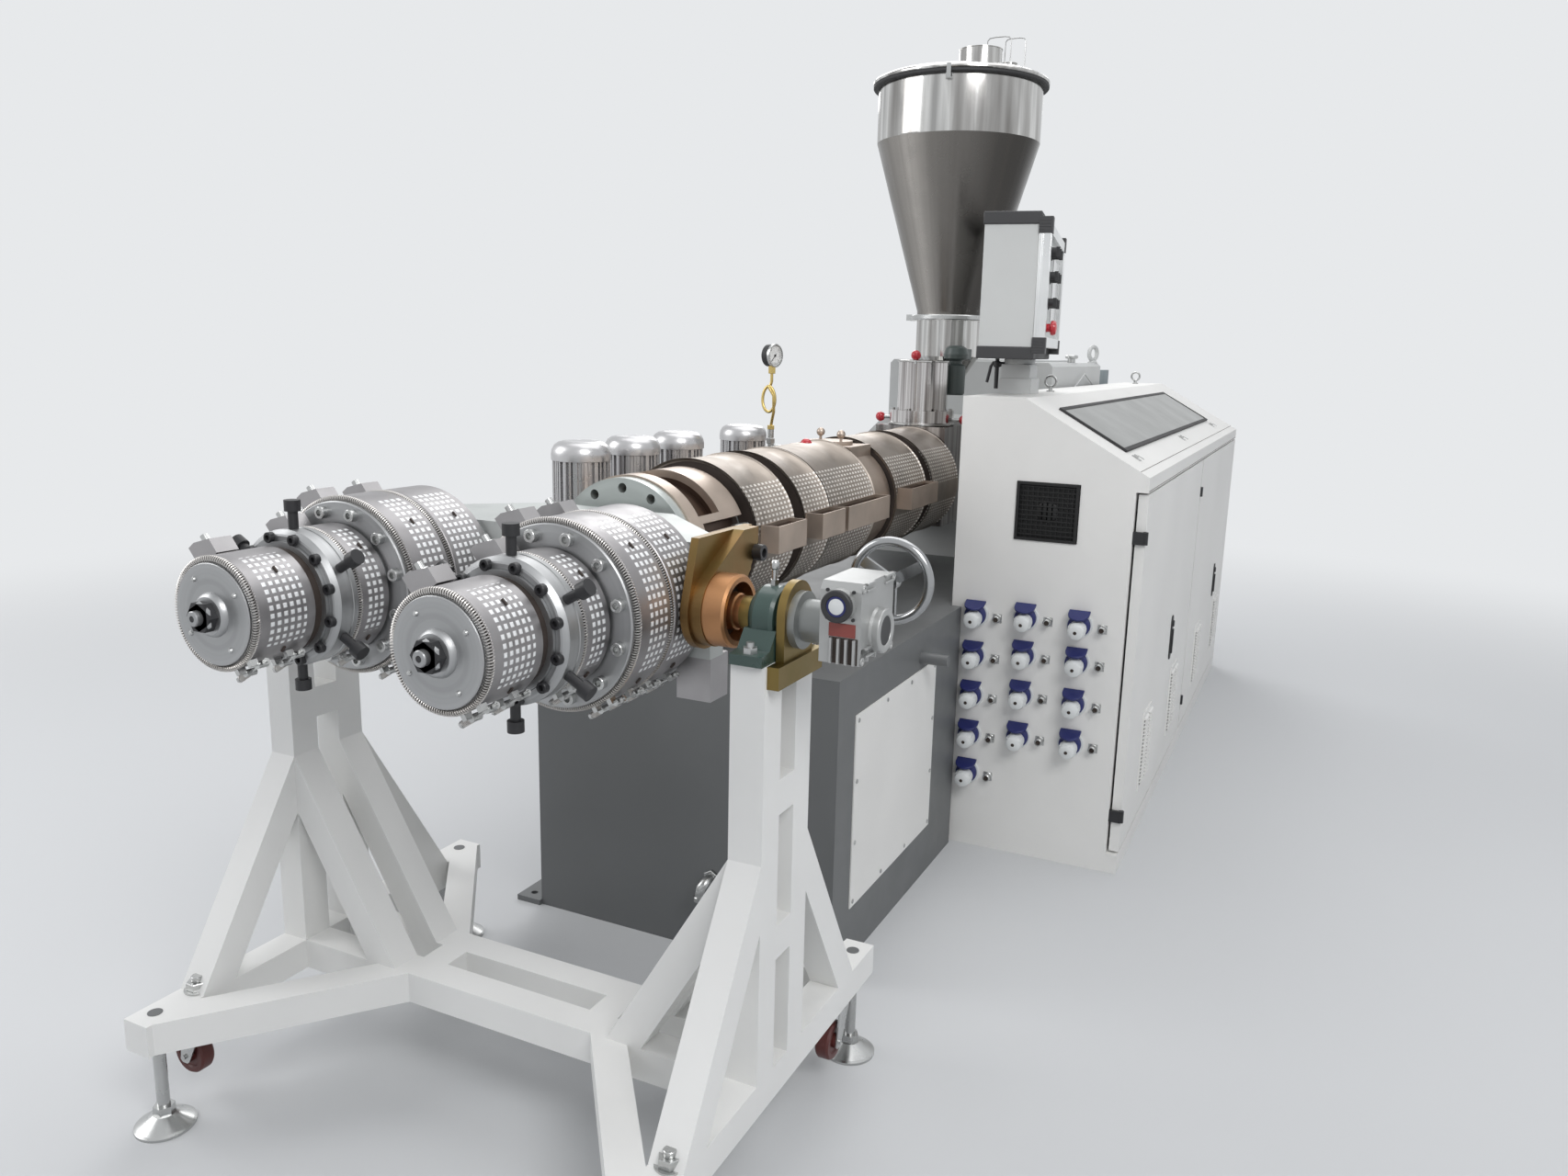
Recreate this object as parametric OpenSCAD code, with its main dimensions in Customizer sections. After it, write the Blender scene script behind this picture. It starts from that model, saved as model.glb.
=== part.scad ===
// Conical twin-screw plastic extruder with a twin pipe die head on a tilting stand.
// Millimetres. +Z up, +Y from the die to the drive end, +X to the control cabinet.
// The origin is on the floor, on the underside of the base, below the barrel axis.

/* [Die stand] */
// Height of the barrel and trunnion axis above the floor
axis_z = 1000; // [980:5:1040]
// Distance from the origin forward to the trunnion axis
die_dist = 1000; // [980:5:1030]
// Square tube of the stand
tube = 60; // [50:1:66]
// Half distance between the two end frames
end_x = 510; // [500:5:540]
// Length of each end beam
end_beam_len = 872; // [860:4:900]
// Top of the beams above the floor
beam_top = 226; // [215:1:240]
// Half distance between the twin posts and between the twin cross beams
post_off = 57; // [52:1:64]
// Top of the posts below the trunnion axis
post_drop = 60; // [55:1:70]
// Height of the lower rung's middle
rung_low = 455; // [430:5:480]
// Height of the upper rung's middle
rung_high = 710; // [690:5:740]
// Height at which the braces meet the posts
brace_top = 615; // [600:5:640]
// Reach of the braces along the beams from the post face
brace_reach = 236; // [220:2:240]
// Half distance between the plan diagonals where they leave the cross beams
diag_x = 249; // [240:1:260]
// Half distance between the feet along an end beam
foot_y = 397; // [390:1:402]
// Diameter of a levelling foot
foot_dia = 104; // [90:2:120]
// Diameter of the levelling screw
foot_stud = 22; // [16:1:26]
// Half distance between the casters along an end beam
caster_y = 310; // [300:1:311]
// Diameter of a caster wheel
wheel_dia = 76; // [70:1:80]
// Width of a caster wheel
wheel_w = 28; // [24:1:32]
// Trail of the wheel axle behind the swivel
caster_trail = 24; // [18:1:28]

/* [Twin die head] */
// Half distance between the two heads
head_x = 220; // [212:1:224]
// Radius of the front heater band
band1_r = 89; // [86:0.5:92]
// Radius of the clamp ring
ring_r = 112; // [108:0.5:115]
// Radius of the middle heater band
band2_r = 110; // [108:0.5:112]
// Radius of the head flange
flange_r = 146; // [143:0.5:148]
// Radius of the two rear heater bands
band3_r = 153; // [151:0.5:155]
// Thickness of a heater band
band_t = 5; // [4:0.5:6]
// Distance of the front face of the heads from the trunnion axis
head_front = 436; // [430:1:442]
// Front of the manifold block behind the trunnion axis
block_front = 30; // [28:1:34]
// Rear of the manifold block behind the trunnion axis
block_rear = 296; // [285:1:300]
// Half width of the manifold block
block_hw = 378; // [376:1:382]
// Half width of its narrow rear end
neck_hw = 145; // [135:1:155]
// Half height of the manifold block
block_hh = 98; // [90:1:100]
// Radius of the trunnion shaft
trunnion_r = 27; // [24:0.5:30]
// Radial running clearance of the trunnion shaft
run_gap = 0.06; // [0.03:0.01:0.1]

/* [Tilt drive] */
// Height of the worm shaft above the trunnion axis
worm_rise = 47; // [44:1:50]
// Diameter of the handwheel
hand_dia = 146; // [136:2:156]
// Distance of the handwheel behind the trunnion axis
hand_y = 145; // [135:1:155]

/* [Barrel] */
// Radius of the barrel tube
barrel_r = 128; // [124:1:132]
// Gap between the tilting die head and the barrel flange
die_gap = 42; // [38:1:50]
// Radius of the front flange
front_flange_r = 154; // [152:1:158]
// Thickness of the front flange
front_flange_t = 28; // [24:1:30]
// Radius of the slotted clamp sleeve
sleeve_r = 158; // [154:1:162]
// Radius of the heater covers
cover_r = 171; // [168:1:174]
// Side of the air outlets measured from the axis
outlet_x = 216; // [210:1:224]
// Height of an air outlet
outlet_h = 60; // [50:1:66]
// Sheet thickness of the air outlets
outlet_t = 3; // [2:0.5:4]

/* [Feeding] */
// Distance of the feed throat behind the origin
throat_y = 1145; // [1135:5:1155]
// Radius of the feed throat
throat_r = 83; // [78:1:88]
// Top of the feed throat
throat_top = 1389; // [1380:1:1400]
// Distance of the hopper axis behind the origin
hopper_y = 1390; // [1380:5:1400]
// Radius of the hopper's upper cylinder
hopper_r = 274; // [264:2:284]
// Radius of the hopper outlet
outlet_r = 112; // [104:2:118]
// Bottom of the hopper cone
cone_low = 1534; // [1525:1:1545]
// Top of the hopper cone
cone_high = 2112; // [2090:2:2130]
// Top of the hopper cylinder
hopper_top = 2292; // [2280:2:2310]
// Sheet thickness of the hopper
hopper_t = 4; // [3:0.5:6]

/* [Base and drive] */
// Left side of the base
base_left = 438; // [430:2:450]
// Right side of the front part of the base
base_right = 371; // [365:1:376]
// Front of the base, ahead of the origin
base_front = 385; // [380:1:390]
// Front part of the base ends behind the origin
base_step = 490; // [480:1:495]
// Right side of the rear part of the base
rear_right = 337; // [330:1:342]
// Rear end of the base
base_rear = 3350; // [3300:10:3450]
// Height of the base
base_h = 714; // [700:2:730]
// Sheet thickness of the side panels
panel_t = 3; // [2:0.5:4]
// Hole spacing of the anchor plates
anchor_gap = 80; // [70:2:90]

/* [Control cabinet] */
// Length of the cabinet
cab_len = 2520; // [2480:10:2560]
// Front of the cabinet behind the origin
cab_front = 510; // [500:1:515]
// Outer side of the cabinet doors
cab_right = 850; // [840:1:860]
// Height of the cabinet
cab_h = 1300; // [1290:2:1310]
// Height of the cabinet's outer side
cab_side_h = 1108; // [1100:2:1120]
// Width of the flat top
cab_flat = 174; // [165:1:180]
// Wall thickness of the cabinet
cab_t = 5; // [4:0.5:8]
// Thickness of a door pan
door_t = 26; // [24:1:28]
// Bottom of the doors
door_low = 62; // [56:1:70]
// Top of the doors
door_high = 1062; // [1050:1:1070]
// Gap round the doors
door_gap = 6; // [5:0.5:7]

/* [Operator box] */
// Width of the operator box
panel_w = 185; // [175:1:195]
// Length of the operator box
panel_len = 640; // [620:5:660]
// Height of the operator box
panel_h = 392; // [380:2:400]
// Turn of the operator box on its column
panel_turn = 9.3; // [0:0.1:15]
// Height of its column
column_h = 102; // [95:1:110]

/* [Hidden] */
$fn = 64;

white_paint = [0.87, 0.87, 0.86];
grey_paint = [0.30, 0.31, 0.32];
steel = [0.70, 0.71, 0.72];
bright = [0.80, 0.81, 0.83];
zinc_yellow = [0.60, 0.46, 0.24];
black = [0.07, 0.07, 0.08];

// Clearance between curved faces that seat on each other
seat = 0.3;

// Trunnion axis in the part's frame
die_y = -die_dist;

// Stand, worked out from its tube
beam_mid = beam_top - tube / 2;
post_top = axis_z - post_drop;

// Square tube along X or along Y
module bar_x(length) { cube([length, tube, tube], center = true); }
module bar_y(length) { cube([tube, length, tube], center = true); }

// A brace as a parallelogram in the plane of the tube, from a post face down to a beam
module brace(reach, low, high) {
  rise = high - low;
  across = tube * sqrt(reach * reach + rise * rise);
  translate([0, tube / 2, 0])
    rotate([90, 0, 0])
      linear_extrude(tube)
        polygon([
          [0, high], [reach, low],
          [reach - across / rise, low], [0, high - across / reach]
        ]);
}

// One end frame of the stand: beam, twin posts, rungs and braces; inward is -1 or 1
module end_frame(inward) {
  difference() {
    translate([0, 0, beam_mid]) bar_y(end_beam_len);
    for (s = [-1, 1])
      translate([0, s * foot_y, 0]) cylinder(h = beam_top + 1, r = foot_stud / 2 + seat);
  }
  for (s = [-1, 1]) {
    translate([-tube / 2, s * post_off - tube / 2, beam_top])
      cube([tube, tube, post_top - beam_top]);
    // Brace along the end beam
    rotate([0, 0, s * 90]) translate([post_off + tube / 2, 0, 0])
      brace(brace_reach, beam_top, brace_top);
    // Brace along the cross beam
    translate([0, s * post_off, 0]) rotate([0, 0, inward > 0 ? 0 : 180])
      translate([tube / 2, 0, 0]) brace(brace_reach, beam_top, brace_top);
  }
  for (z = [rung_low, rung_high])
    translate([-tube / 2, -(post_off - tube / 2), z - tube / 2])
      cube([tube, 2 * post_off - tube, tube]);
}

module stand_left_frame() color(white_paint) translate([-end_x, die_y, 0]) end_frame(1);
module stand_right_frame() color(white_paint) translate([end_x, die_y, 0]) end_frame(-1);

// Plan diagonal from a cross beam's face out to the end beam near its foot
module diagonal() {
  y0 = post_off + tube / 2;
  x1 = end_x - tube / 2;
  y1 = foot_y - 20;
  run = x1 - diag_x;
  out = y1 - y0;
  half = tube / 2 * sqrt(run * run + out * out);
  translate([0, 0, beam_top - tube])
    linear_extrude(tube)
      polygon([
        [diag_x - half / out, y0], [diag_x + half / out, y0],
        [x1, y1 - half / run], [x1, y1 + half / run]
      ]);
}

module stand_cross_beams() {
  color(white_paint) translate([0, die_y, 0]) {
    for (s = [-1, 1]) {
      translate([0, s * post_off, beam_mid]) bar_x(2 * end_x - tube);
      translate([s * (diag_x - 52), 0, beam_mid])
        cube([tube, 2 * post_off - tube, tube], center = true);
    }
    for (sx = [0, 1]) mirror([sx, 0, 0])
      for (sy = [0, 1]) mirror([0, sy, 0]) diagonal();
  }
}

// Levelling foot: turned disc, screw through the beam and its lock nut
foot_disc_h = 26;
foot_nut_h = 16;
module levelling_foot() {
  rotate_extrude()
    polygon([
      [0, 0], [foot_dia / 2, 0], [foot_dia / 2, 5], [foot_dia / 2 - 4, 8],
      [foot_stud * 0.9, foot_disc_h], [0, foot_disc_h]
    ]);
  cylinder(h = beam_top - 8, r = foot_stud / 2);
  translate([0, 0, foot_disc_h]) cylinder(h = foot_nut_h, r = foot_stud * 0.85, $fn = 6);
  translate([0, 0, beam_top - tube - foot_nut_h])
    cylinder(h = foot_nut_h, r = foot_stud * 0.85, $fn = 6);
}

module levelling_feet() {
  color(bright)
    for (sx = [-1, 1], sy = [-1, 1])
      translate([sx * end_x, die_y + sy * foot_y, 0]) levelling_foot();
}

// Caster hanging under an end beam: swivel head, two cheeks and an axle behind it
caster_top = beam_top - tube;
caster_lift = 54;
wheel_r = wheel_dia / 2;
axle_z = caster_lift + wheel_r;
axle_r = 5;
cheek_t = 3;
cheek_gap = 5;
swivel_r = 27;
swivel_h = 10;
crown_t = 4;
fork_top = caster_top - swivel_h;

module caster_fork(sx, sy, turn) {
  side = wheel_w / 2 + cheek_gap;
  color(steel) translate([sx * end_x, die_y + sy * caster_y, 0]) rotate([0, 0, turn]) {
    translate([0, 0, fork_top]) cylinder(h = swivel_h - 0.3, r = swivel_r);
    translate([-side - cheek_t, -24, fork_top - crown_t])
      cube([2 * (side + cheek_t), 48, crown_t]);
    for (s = [-1, 1])
      translate([s * (side + cheek_t / 2) - cheek_t / 2, 0, 0])
        rotate([90, 0, 90]) linear_extrude(cheek_t)
          polygon([
            [-24, fork_top], [24, fork_top],
            [caster_trail + 12, axle_z - 8], [caster_trail + 6, axle_z - 13],
            [caster_trail - 6, axle_z - 13], [caster_trail - 12, axle_z - 8]
          ]);
    translate([-side - cheek_t - 4, caster_trail, axle_z]) rotate([0, 90, 0])
      cylinder(h = 2 * (side + cheek_t + 4), r = axle_r);
  }
}

module caster_wheel(sx, sy, turn) {
  hub_r = 14;
  color([0.28, 0.08, 0.07])
    translate([sx * end_x, die_y + sy * caster_y, axle_z]) rotate([0, 0, turn])
      translate([0, caster_trail, 0]) rotate([0, 90, 0]) rotate_extrude()
        polygon([
          [axle_r + run_gap, -wheel_w / 2 - 4], [hub_r, -wheel_w / 2 - 4],
          [hub_r, -wheel_w / 2 + 3], [wheel_r - 14, -wheel_w / 2 + 3],
          [wheel_r - 12, -wheel_w / 2], [wheel_r - 3, -wheel_w / 2],
          [wheel_r, -wheel_w / 2 + 4], [wheel_r, wheel_w / 2 - 4],
          [wheel_r - 3, wheel_w / 2], [wheel_r - 12, wheel_w / 2],
          [wheel_r - 14, wheel_w / 2 - 3], [hub_r, wheel_w / 2 - 3],
          [hub_r, wheel_w / 2 + 4], [axle_r + run_gap, wheel_w / 2 + 4]
        ]);
}

// Pillow block on the twin posts: foot, ribbed housing and turned seat
block_base_h = 17;
block_w = 56;
block_len = 2 * post_off + tube + 18;
boss_r = 50;
block_pad = 26;
module pillow_block() {
  difference() {
    union() {
      translate([-block_w / 2, 0, post_top]) rotate([90, 0, 90]) linear_extrude(block_w)
        polygon([
          [-block_len / 2, 0], [block_len / 2, 0], [block_len / 2, block_base_h],
          [block_len / 2 - block_pad, block_base_h + 3], [boss_r - 2, axis_z - post_top - 12],
          [-boss_r + 2, axis_z - post_top - 12], [-block_len / 2 + block_pad, block_base_h + 3],
          [-block_len / 2, block_base_h]
        ]);
      translate([0, 0, axis_z]) rotate([0, 90, 0]) rotate_extrude()
        polygon([
          [0, -block_w / 2], [boss_r - 14, -block_w / 2], [boss_r - 10, -block_w / 2 + 6],
          [boss_r - 3, -block_w / 2 + 8], [boss_r, -block_w / 2 + 14], [boss_r, block_w / 2 - 14],
          [boss_r - 3, block_w / 2 - 8], [boss_r - 10, block_w / 2 - 6], [boss_r - 14, block_w / 2],
          [0, block_w / 2]
        ]);
    }
    translate([-block_w, 0, axis_z]) rotate([0, 90, 0])
      cylinder(h = 2 * block_w, r = trunnion_r + run_gap);
  }
}

module bearing_blocks() {
  color([0.10, 0.17, 0.15])
    for (s = [-1, 1]) translate([s * end_x, die_y, 0]) pillow_block();
}

// Torque plate bolted to the outer faces of the right posts
bracket_t = 14;
bracket_x = end_x + tube / 2;
gear_flange_r = 46;
module drive_bracket() {
  color(zinc_yellow) translate([bracket_x, die_y, 0]) difference() {
    union() {
      translate([0, -post_off - tube / 2 + 6, post_top - 36])
        cube([bracket_t + 6, 2 * post_off + tube - 12, 36]);
      translate([0, -gear_flange_r - 6, post_top - 36])
        cube([bracket_t, 2 * gear_flange_r + 12, axis_z + 10 - post_top + 36]);
      translate([0, 0, axis_z + 10]) rotate([0, 90, 0])
        cylinder(h = bracket_t, r = gear_flange_r + 6);
    }
    translate([-1, 0, axis_z]) rotate([0, 90, 0])
      cylinder(h = bracket_t + 10, r = trunnion_r + 4);
  }
}

// Worm gearbox with a hollow output, flange to the bracket and a ribbed case
gear_x0 = bracket_x + bracket_t;
gear_w = 66;
gear_case_x = gear_x0 + 64;
gear_hub = 14;
gear_half = 66;
gear_low = 43;
gear_high = 80;
gear_wall = 10;
gear_ribs = 5;
rib_t = 4;
bore_r = 14;
worm_r = 8;
worm_boss_r = 25;
module gear_case_outline() {
  polygon([
    [-gear_half, -gear_low], [gear_half, -gear_low], [gear_half, gear_high - 12],
    [gear_half - 10, gear_high], [-gear_half + 10, gear_high], [-gear_half, gear_high - 12]
  ]);
}

module worm_gearbox() {
  pitch = (2 * gear_half - rib_t) / (gear_ribs - 1);
  color(bright) translate([0, die_y, axis_z]) difference() {
    union() {
      translate([gear_x0, 0, 0]) rotate([0, 90, 0]) rotate_extrude()
        polygon([
          [0, 0], [gear_flange_r, 0], [gear_flange_r, 12], [gear_flange_r - 12, 14],
          [gear_flange_r - 12, gear_case_x - gear_x0 + 1], [0, gear_case_x - gear_x0 + 1]
        ]);
      translate([gear_case_x + gear_wall, 0, 0]) rotate([90, 0, 90])
        linear_extrude(gear_w - 2 * gear_wall) gear_case_outline();
      // Side walls with ribs standing over the waist
      for (x = [gear_case_x, gear_case_x + gear_w - gear_wall]) translate([x, 0, 0])
        rotate([90, 0, 90]) linear_extrude(gear_wall) difference() {
          gear_case_outline();
          for (i = [0 : gear_ribs - 2])
            translate([-gear_half + rib_t + i * pitch, -gear_low - 1]) square([pitch - rib_t, 25]);
        }
      translate([gear_case_x + gear_w - 1, 0, 0]) rotate([0, 90, 0])
        cylinder(h = gear_hub + 1, r1 = 36, r2 = 32);
      translate([gear_case_x + gear_w / 2, -gear_half - 12, worm_rise]) rotate([-90, 0, 0])
        cylinder(h = 2 * gear_half + 24, r = worm_boss_r);
    }
    translate([gear_case_x + 6, 0, 0]) rotate([0, 90, 0])
      cylinder(h = gear_w + gear_hub + 2, r = bore_r);
    translate([gear_x0 - 1, 0, 0]) rotate([0, 90, 0])
      cylinder(h = gear_case_x - gear_x0 - 6, r = trunnion_r + 4);
    translate([gear_case_x + gear_w / 2, 0, worm_rise]) rotate([-90, 0, 0])
      cylinder(h = gear_half + 13, r = worm_r + run_gap);
  }
}

// Three-spoke handwheel on the worm shaft
hand_r = hand_dia / 2;
hand_rim = 8;
hub_r = 17;
hub_len = 30;
spoke_w = 18;
spoke_t = 8;
module handwheel() {
  color(bright)
    translate([gear_case_x + gear_w / 2, die_y, axis_z + worm_rise]) rotate([-90, 0, 0]) {
      translate([0, 0, hand_y]) rotate_extrude()
        translate([hand_r - hand_rim, 0]) circle(r = hand_rim, $fn = 24);
      translate([0, 0, hand_y - hub_len + 8]) cylinder(h = hub_len, r1 = hub_r, r2 = hub_r - 2);
      translate([0, 0, 20]) cylinder(h = hand_y - 20, r = worm_r);
      for (a = [0 : 120 : 240]) rotate([0, 0, a - 30])
        translate([hub_r - 5, -spoke_w / 2, hand_y - spoke_t / 2])
          cube([hand_r - hand_rim - hub_r + 3, spoke_w, spoke_t]);
    }
}

// Twin head: manifold block with chamfered rear corners and a round neck
wing = 45;
neck_r = 56;
neck_len = 24;
module die_manifold() {
  color([0.74, 0.75, 0.74]) translate([0, die_y, axis_z]) {
    translate([0, 0, -block_hh]) linear_extrude(2 * block_hh)
      polygon([
        [-block_hw, block_front], [block_hw, block_front],
        [block_hw, block_front + wing], [neck_hw, block_rear],
        [-neck_hw, block_rear], [-block_hw, block_front + wing]
      ]);
    translate([0, block_rear, 0]) rotate([-90, 0, 0]) cylinder(h = neck_len, r = neck_r);
  }
}

// Trunnion bracket: plate on the manifold's end, slanted arm, dished boss and stub shaft
bracket_plate = 14;
arm_t = 20;
arm_back = 107;
arm_w = 52;
trunnion_boss_r = 60;
boss_t = 38;
boss_dish = 26;
module trunnion_bracket(reach) {
  shaft = reach - block_hw - bracket_plate - arm_t;
  translate([block_hw, 0, 0]) {
    rotate([90, 0, 90]) linear_extrude(bracket_plate) hull() {
      translate([-34, 40]) square([arm_back + 74, block_hh - 20]);
      circle(r = trunnion_boss_r + 8);
    }
    translate([bracket_plate, 0, 0]) rotate([90, 0, 90]) linear_extrude(arm_t) hull() {
      translate([arm_back - arm_w / 2, block_hh - 6]) square([arm_w, 26]);
      circle(r = trunnion_boss_r + 2);
    }
    translate([bracket_plate + arm_t, 0, 0]) rotate([0, 90, 0]) rotate_extrude()
      polygon([
        [0, 0], [trunnion_boss_r, 0], [trunnion_boss_r, boss_t - 4], [trunnion_boss_r - 4, boss_t],
        [trunnion_boss_r - 12, boss_t], [trunnion_boss_r - 14, boss_t - boss_dish],
        [trunnion_r + 5, boss_t - boss_dish], [trunnion_r + 3, boss_t - 2], [trunnion_r, boss_t],
        [trunnion_r, shaft], [0, shaft]
      ]);
  }
}

module trunnion_brackets() {
  color(zinc_yellow) translate([0, die_y, axis_z]) {
    trunnion_bracket(gear_x0 + 26);
    mirror([1, 0, 0]) trunnion_bracket(end_x + block_w / 2 + 12);
  }
}

// Stations along a head, measured forward from the trunnion axis
band1_rear = 324;
ring_front = 303;
ring_rear = 257;
band2_front = 250;
band2_rear = 190;
flange_front = 186;
band3_front = 172;
band3_rear = 86;
band4_front = 74;
band4_rear = -24;
inner1 = band1_r - band_t - seat;
inner2 = band2_r - band_t - seat;
inner3 = band3_r - band_t - seat;
spigot_r = ring_r - 18;

module at_heads() {
  for (s = [-1, 1]) translate([s * head_x, die_y, axis_z]) children();
}

module turned(points) {
  rotate([90, 0, 0]) rotate_extrude() polygon(points);
}

module die_heads() {
  color(steel) at_heads() turned([
    [0, -block_front], [inner3, -block_front], [inner3, band3_front],
    [flange_r, band3_front], [flange_r, flange_front - 2], [flange_r - 2, flange_front],
    [inner2, flange_front], [inner2, band2_front + 4], [spigot_r, band2_front + 4],
    [spigot_r, ring_front + 6], [inner1 - 6, ring_front + 6], [inner1 - 6, band1_rear],
    [inner1, band1_rear], [inner1, head_front - 8], [inner1 - 4, head_front],
    [34, head_front], [30, head_front + 9], [0, head_front + 9]
  ]);
}

module ring(front, rear, outer, inner, edge) {
  turned([
    [inner, rear], [outer - edge, rear], [outer, rear + edge],
    [outer, front - edge], [outer - edge, front], [inner, front]
  ]);
}

module die_clamp_rings() {
  color(bright) at_heads() turned([
    [spigot_r + seat, ring_rear], [ring_r - 2, ring_rear], [ring_r, ring_rear + 2],
    [ring_r, ring_rear + 11], [ring_r - 1.5, ring_rear + 12], [ring_r - 1.5, ring_rear + 14],
    [ring_r, ring_rear + 15], [ring_r, ring_front - 9], [ring_r - 7, ring_front - 1],
    [ring_r - 10, ring_front], [spigot_r + seat, ring_front]
  ]);
}

module heater_bands_front() {
  color(steel) at_heads() ring(head_front - 6, band1_rear, band1_r, inner1 + seat, 1);
}

module heater_bands_middle() {
  color(steel) at_heads() ring(band2_front, band2_rear, band2_r, inner2 + seat, 1);
}

module heater_bands_rear() {
  color(steel) at_heads() {
    ring(band3_front, band3_rear, band3_r, inner3 + seat, 1);
    ring(band4_front, band4_rear, band3_r, inner3 + seat, 1);
  }
}

// Centring screws round the clamp ring and the mandrel nut of each head
screw_r = 8;
screw_out = 46;
nut_h = 20;
stub_out = 10;
module die_screws() {
  color(black) at_heads() {
    for (a = [30 : 60 : 330]) rotate([0, -a, 0])
      translate([ring_r + seat, -(ring_front + ring_rear) / 2, 0]) rotate([0, 90, 0]) {
        cylinder(h = screw_out, r = screw_r);
        translate([0, 0, screw_out - 18]) cylinder(h = 18, r = screw_r + 5);
      }
    rotate([90, 0, 0]) {
      translate([0, 0, head_front + 9]) cylinder(h = nut_h, r = 25, $fn = 6);
      translate([0, 0, head_front + 9]) cylinder(h = nut_h + stub_out, r = 11);
    }
  }
}

// Sheet terminal box of each heater band, on its upper left
module terminal_box(r, front, rear) {
  mid = (front + rear) / 2;
  rotate([0, -128, 0]) translate([r + seat, -mid, 0]) {
    translate([0, -20, -25]) cube([26, 40, 50]);
    translate([0, -20, -25]) rotate([-90, 0, 0]) linear_extrude(40)
      polygon([[0, 0], [26, 0], [40, -34], [40, -50], [0, -50]]);
  }
}

module heater_terminal_boxes() {
  color(steel) {
    at_heads() {
      terminal_box(band1_r, head_front - 6, band1_rear);
      terminal_box(band2_r, band2_front, band2_rear);
      terminal_box(band3_r, band3_front, band3_rear);
      terminal_box(band3_r, band4_front, band4_rear);
    }
    translate([head_x + 88, die_y + 40, axis_z - block_hh - 78]) cube([66, 60, 78]);
  }
}

// Barrel tube with the drilled front flange, open for the die's bolts
flange_y = die_y + block_rear + die_gap;
flange_pcd = 268;
flange_hole_r = 10;
sleeve_y0 = flange_y + front_flange_t;
sleeve_len = 212;
barrel_end = throat_y - 110;
module barrel() {
  color(steel) translate([0, flange_y, axis_z]) rotate([-90, 0, 0]) {
    difference() {
      cylinder(h = front_flange_t, r = front_flange_r);
      for (a = [0 : 30 : 330]) rotate([0, 0, a]) translate([flange_pcd / 2, 0, -1])
        cylinder(h = front_flange_t + 2, r = flange_hole_r);
    }
    translate([0, 0, front_flange_t]) cylinder(h = barrel_end - sleeve_y0, r = barrel_r);
  }
}

// Clamp sleeve behind the flange: collar, windows and a split rear band with its bolt block
collar_len = 40;
window_len = 86;
window_wall = 3;
window_turn = 76;
split_turn = 7;
module sector(r, from, to) {
  middle = (from + to) / 2;
  polygon([
    [0, 0], [r * cos(from), r * sin(from)], [r * cos(middle), r * sin(middle)] * 1.2,
    [r * cos(to), r * sin(to)]
  ]);
}

module barrel_sleeve() {
  color([0.52, 0.44, 0.38]) translate([0, sleeve_y0 + seat, axis_z]) rotate([-90, 0, 0]) difference() {
    cylinder(h = sleeve_len, r = sleeve_r);
    translate([0, 0, -1]) cylinder(h = sleeve_len + 2, r = barrel_r + seat);
    for (a = [-96, 144]) difference() {
      translate([0, 0, collar_len]) linear_extrude(window_len)
        sector(2 * sleeve_r, a - window_turn / 2 + 28, a + window_turn / 2 + 28);
      cylinder(h = sleeve_len, r = barrel_r + window_wall);
    }
    translate([0, 0, collar_len + 6]) linear_extrude(sleeve_len) difference() {
      sector(2 * sleeve_r, -24, -24 + split_turn);
      circle(r = barrel_r + window_wall);
    }
  }
}

// Heater covers along the barrel: start and end of each behind the origin
covers = [[-396, -211], [-152, -8], [-2, 300], [459, 715], [778, 1030]];
rim = 3;
module barrel_covers() {
  color(steel) for (c = covers)
    translate([0, c[0], axis_z]) rotate([-90, 0, 0]) rotate_extrude() polygon([
      [barrel_r + seat, rim], [cover_r - rim, rim], [cover_r - rim, 0], [cover_r, 0],
      [cover_r, c[1] - c[0]], [cover_r - rim, c[1] - c[0]], [cover_r - rim, c[1] - c[0] - rim],
      [barrel_r + seat, c[1] - c[0] - rim]
    ]);
}

// Open-topped air outlets on the cabinet side of the covers
outlets = [[-382, -238], [-148, -12], [9, 293], [470, 700]];
outlet_low = -22;
module air_outlets() {
  color(steel) for (o = outlets)
    translate([cover_r + seat, o[0], axis_z + outlet_low]) difference() {
      cube([outlet_x - cover_r - seat, o[1] - o[0], outlet_h]);
      translate([outlet_t, outlet_t, outlet_t])
        cube([outlet_x - cover_r - seat - 2 * outlet_t, o[1] - o[0] - 2 * outlet_t, outlet_h]);
    }
}

// Vacuum vent between the third and fourth cover
vent_y0 = 306;
vent_y1 = 453;
vent_hw = 92;
vent_top = 1158;
module vent_housing() {
  mid = (vent_y0 + vent_y1) / 2;
  color(steel) difference() {
    union() {
      translate([-vent_hw, vent_y0, axis_z]) cube([2 * vent_hw, vent_y1 - vent_y0, vent_top - axis_z]);
      translate([0, vent_y0, axis_z]) rotate([-90, 0, 0])
        cylinder(h = vent_y1 - vent_y0, r = cover_r - 14);
      translate([0, mid, vent_top]) cylinder(h = 10, r = 62);
    }
    translate([0, vent_y0 - 1, axis_z]) rotate([-90, 0, 0])
      cylinder(h = vent_y1 - vent_y0 + 2, r = barrel_r + seat);
  }
  color([0.7, 0.05, 0.05]) for (s = [-1, 1])
    translate([s * 44, mid - s * 30, vent_top + 10]) {
      cylinder(h = 16, r = 4);
      translate([0, 0, 20]) sphere(r = 12);
    }
}

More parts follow.
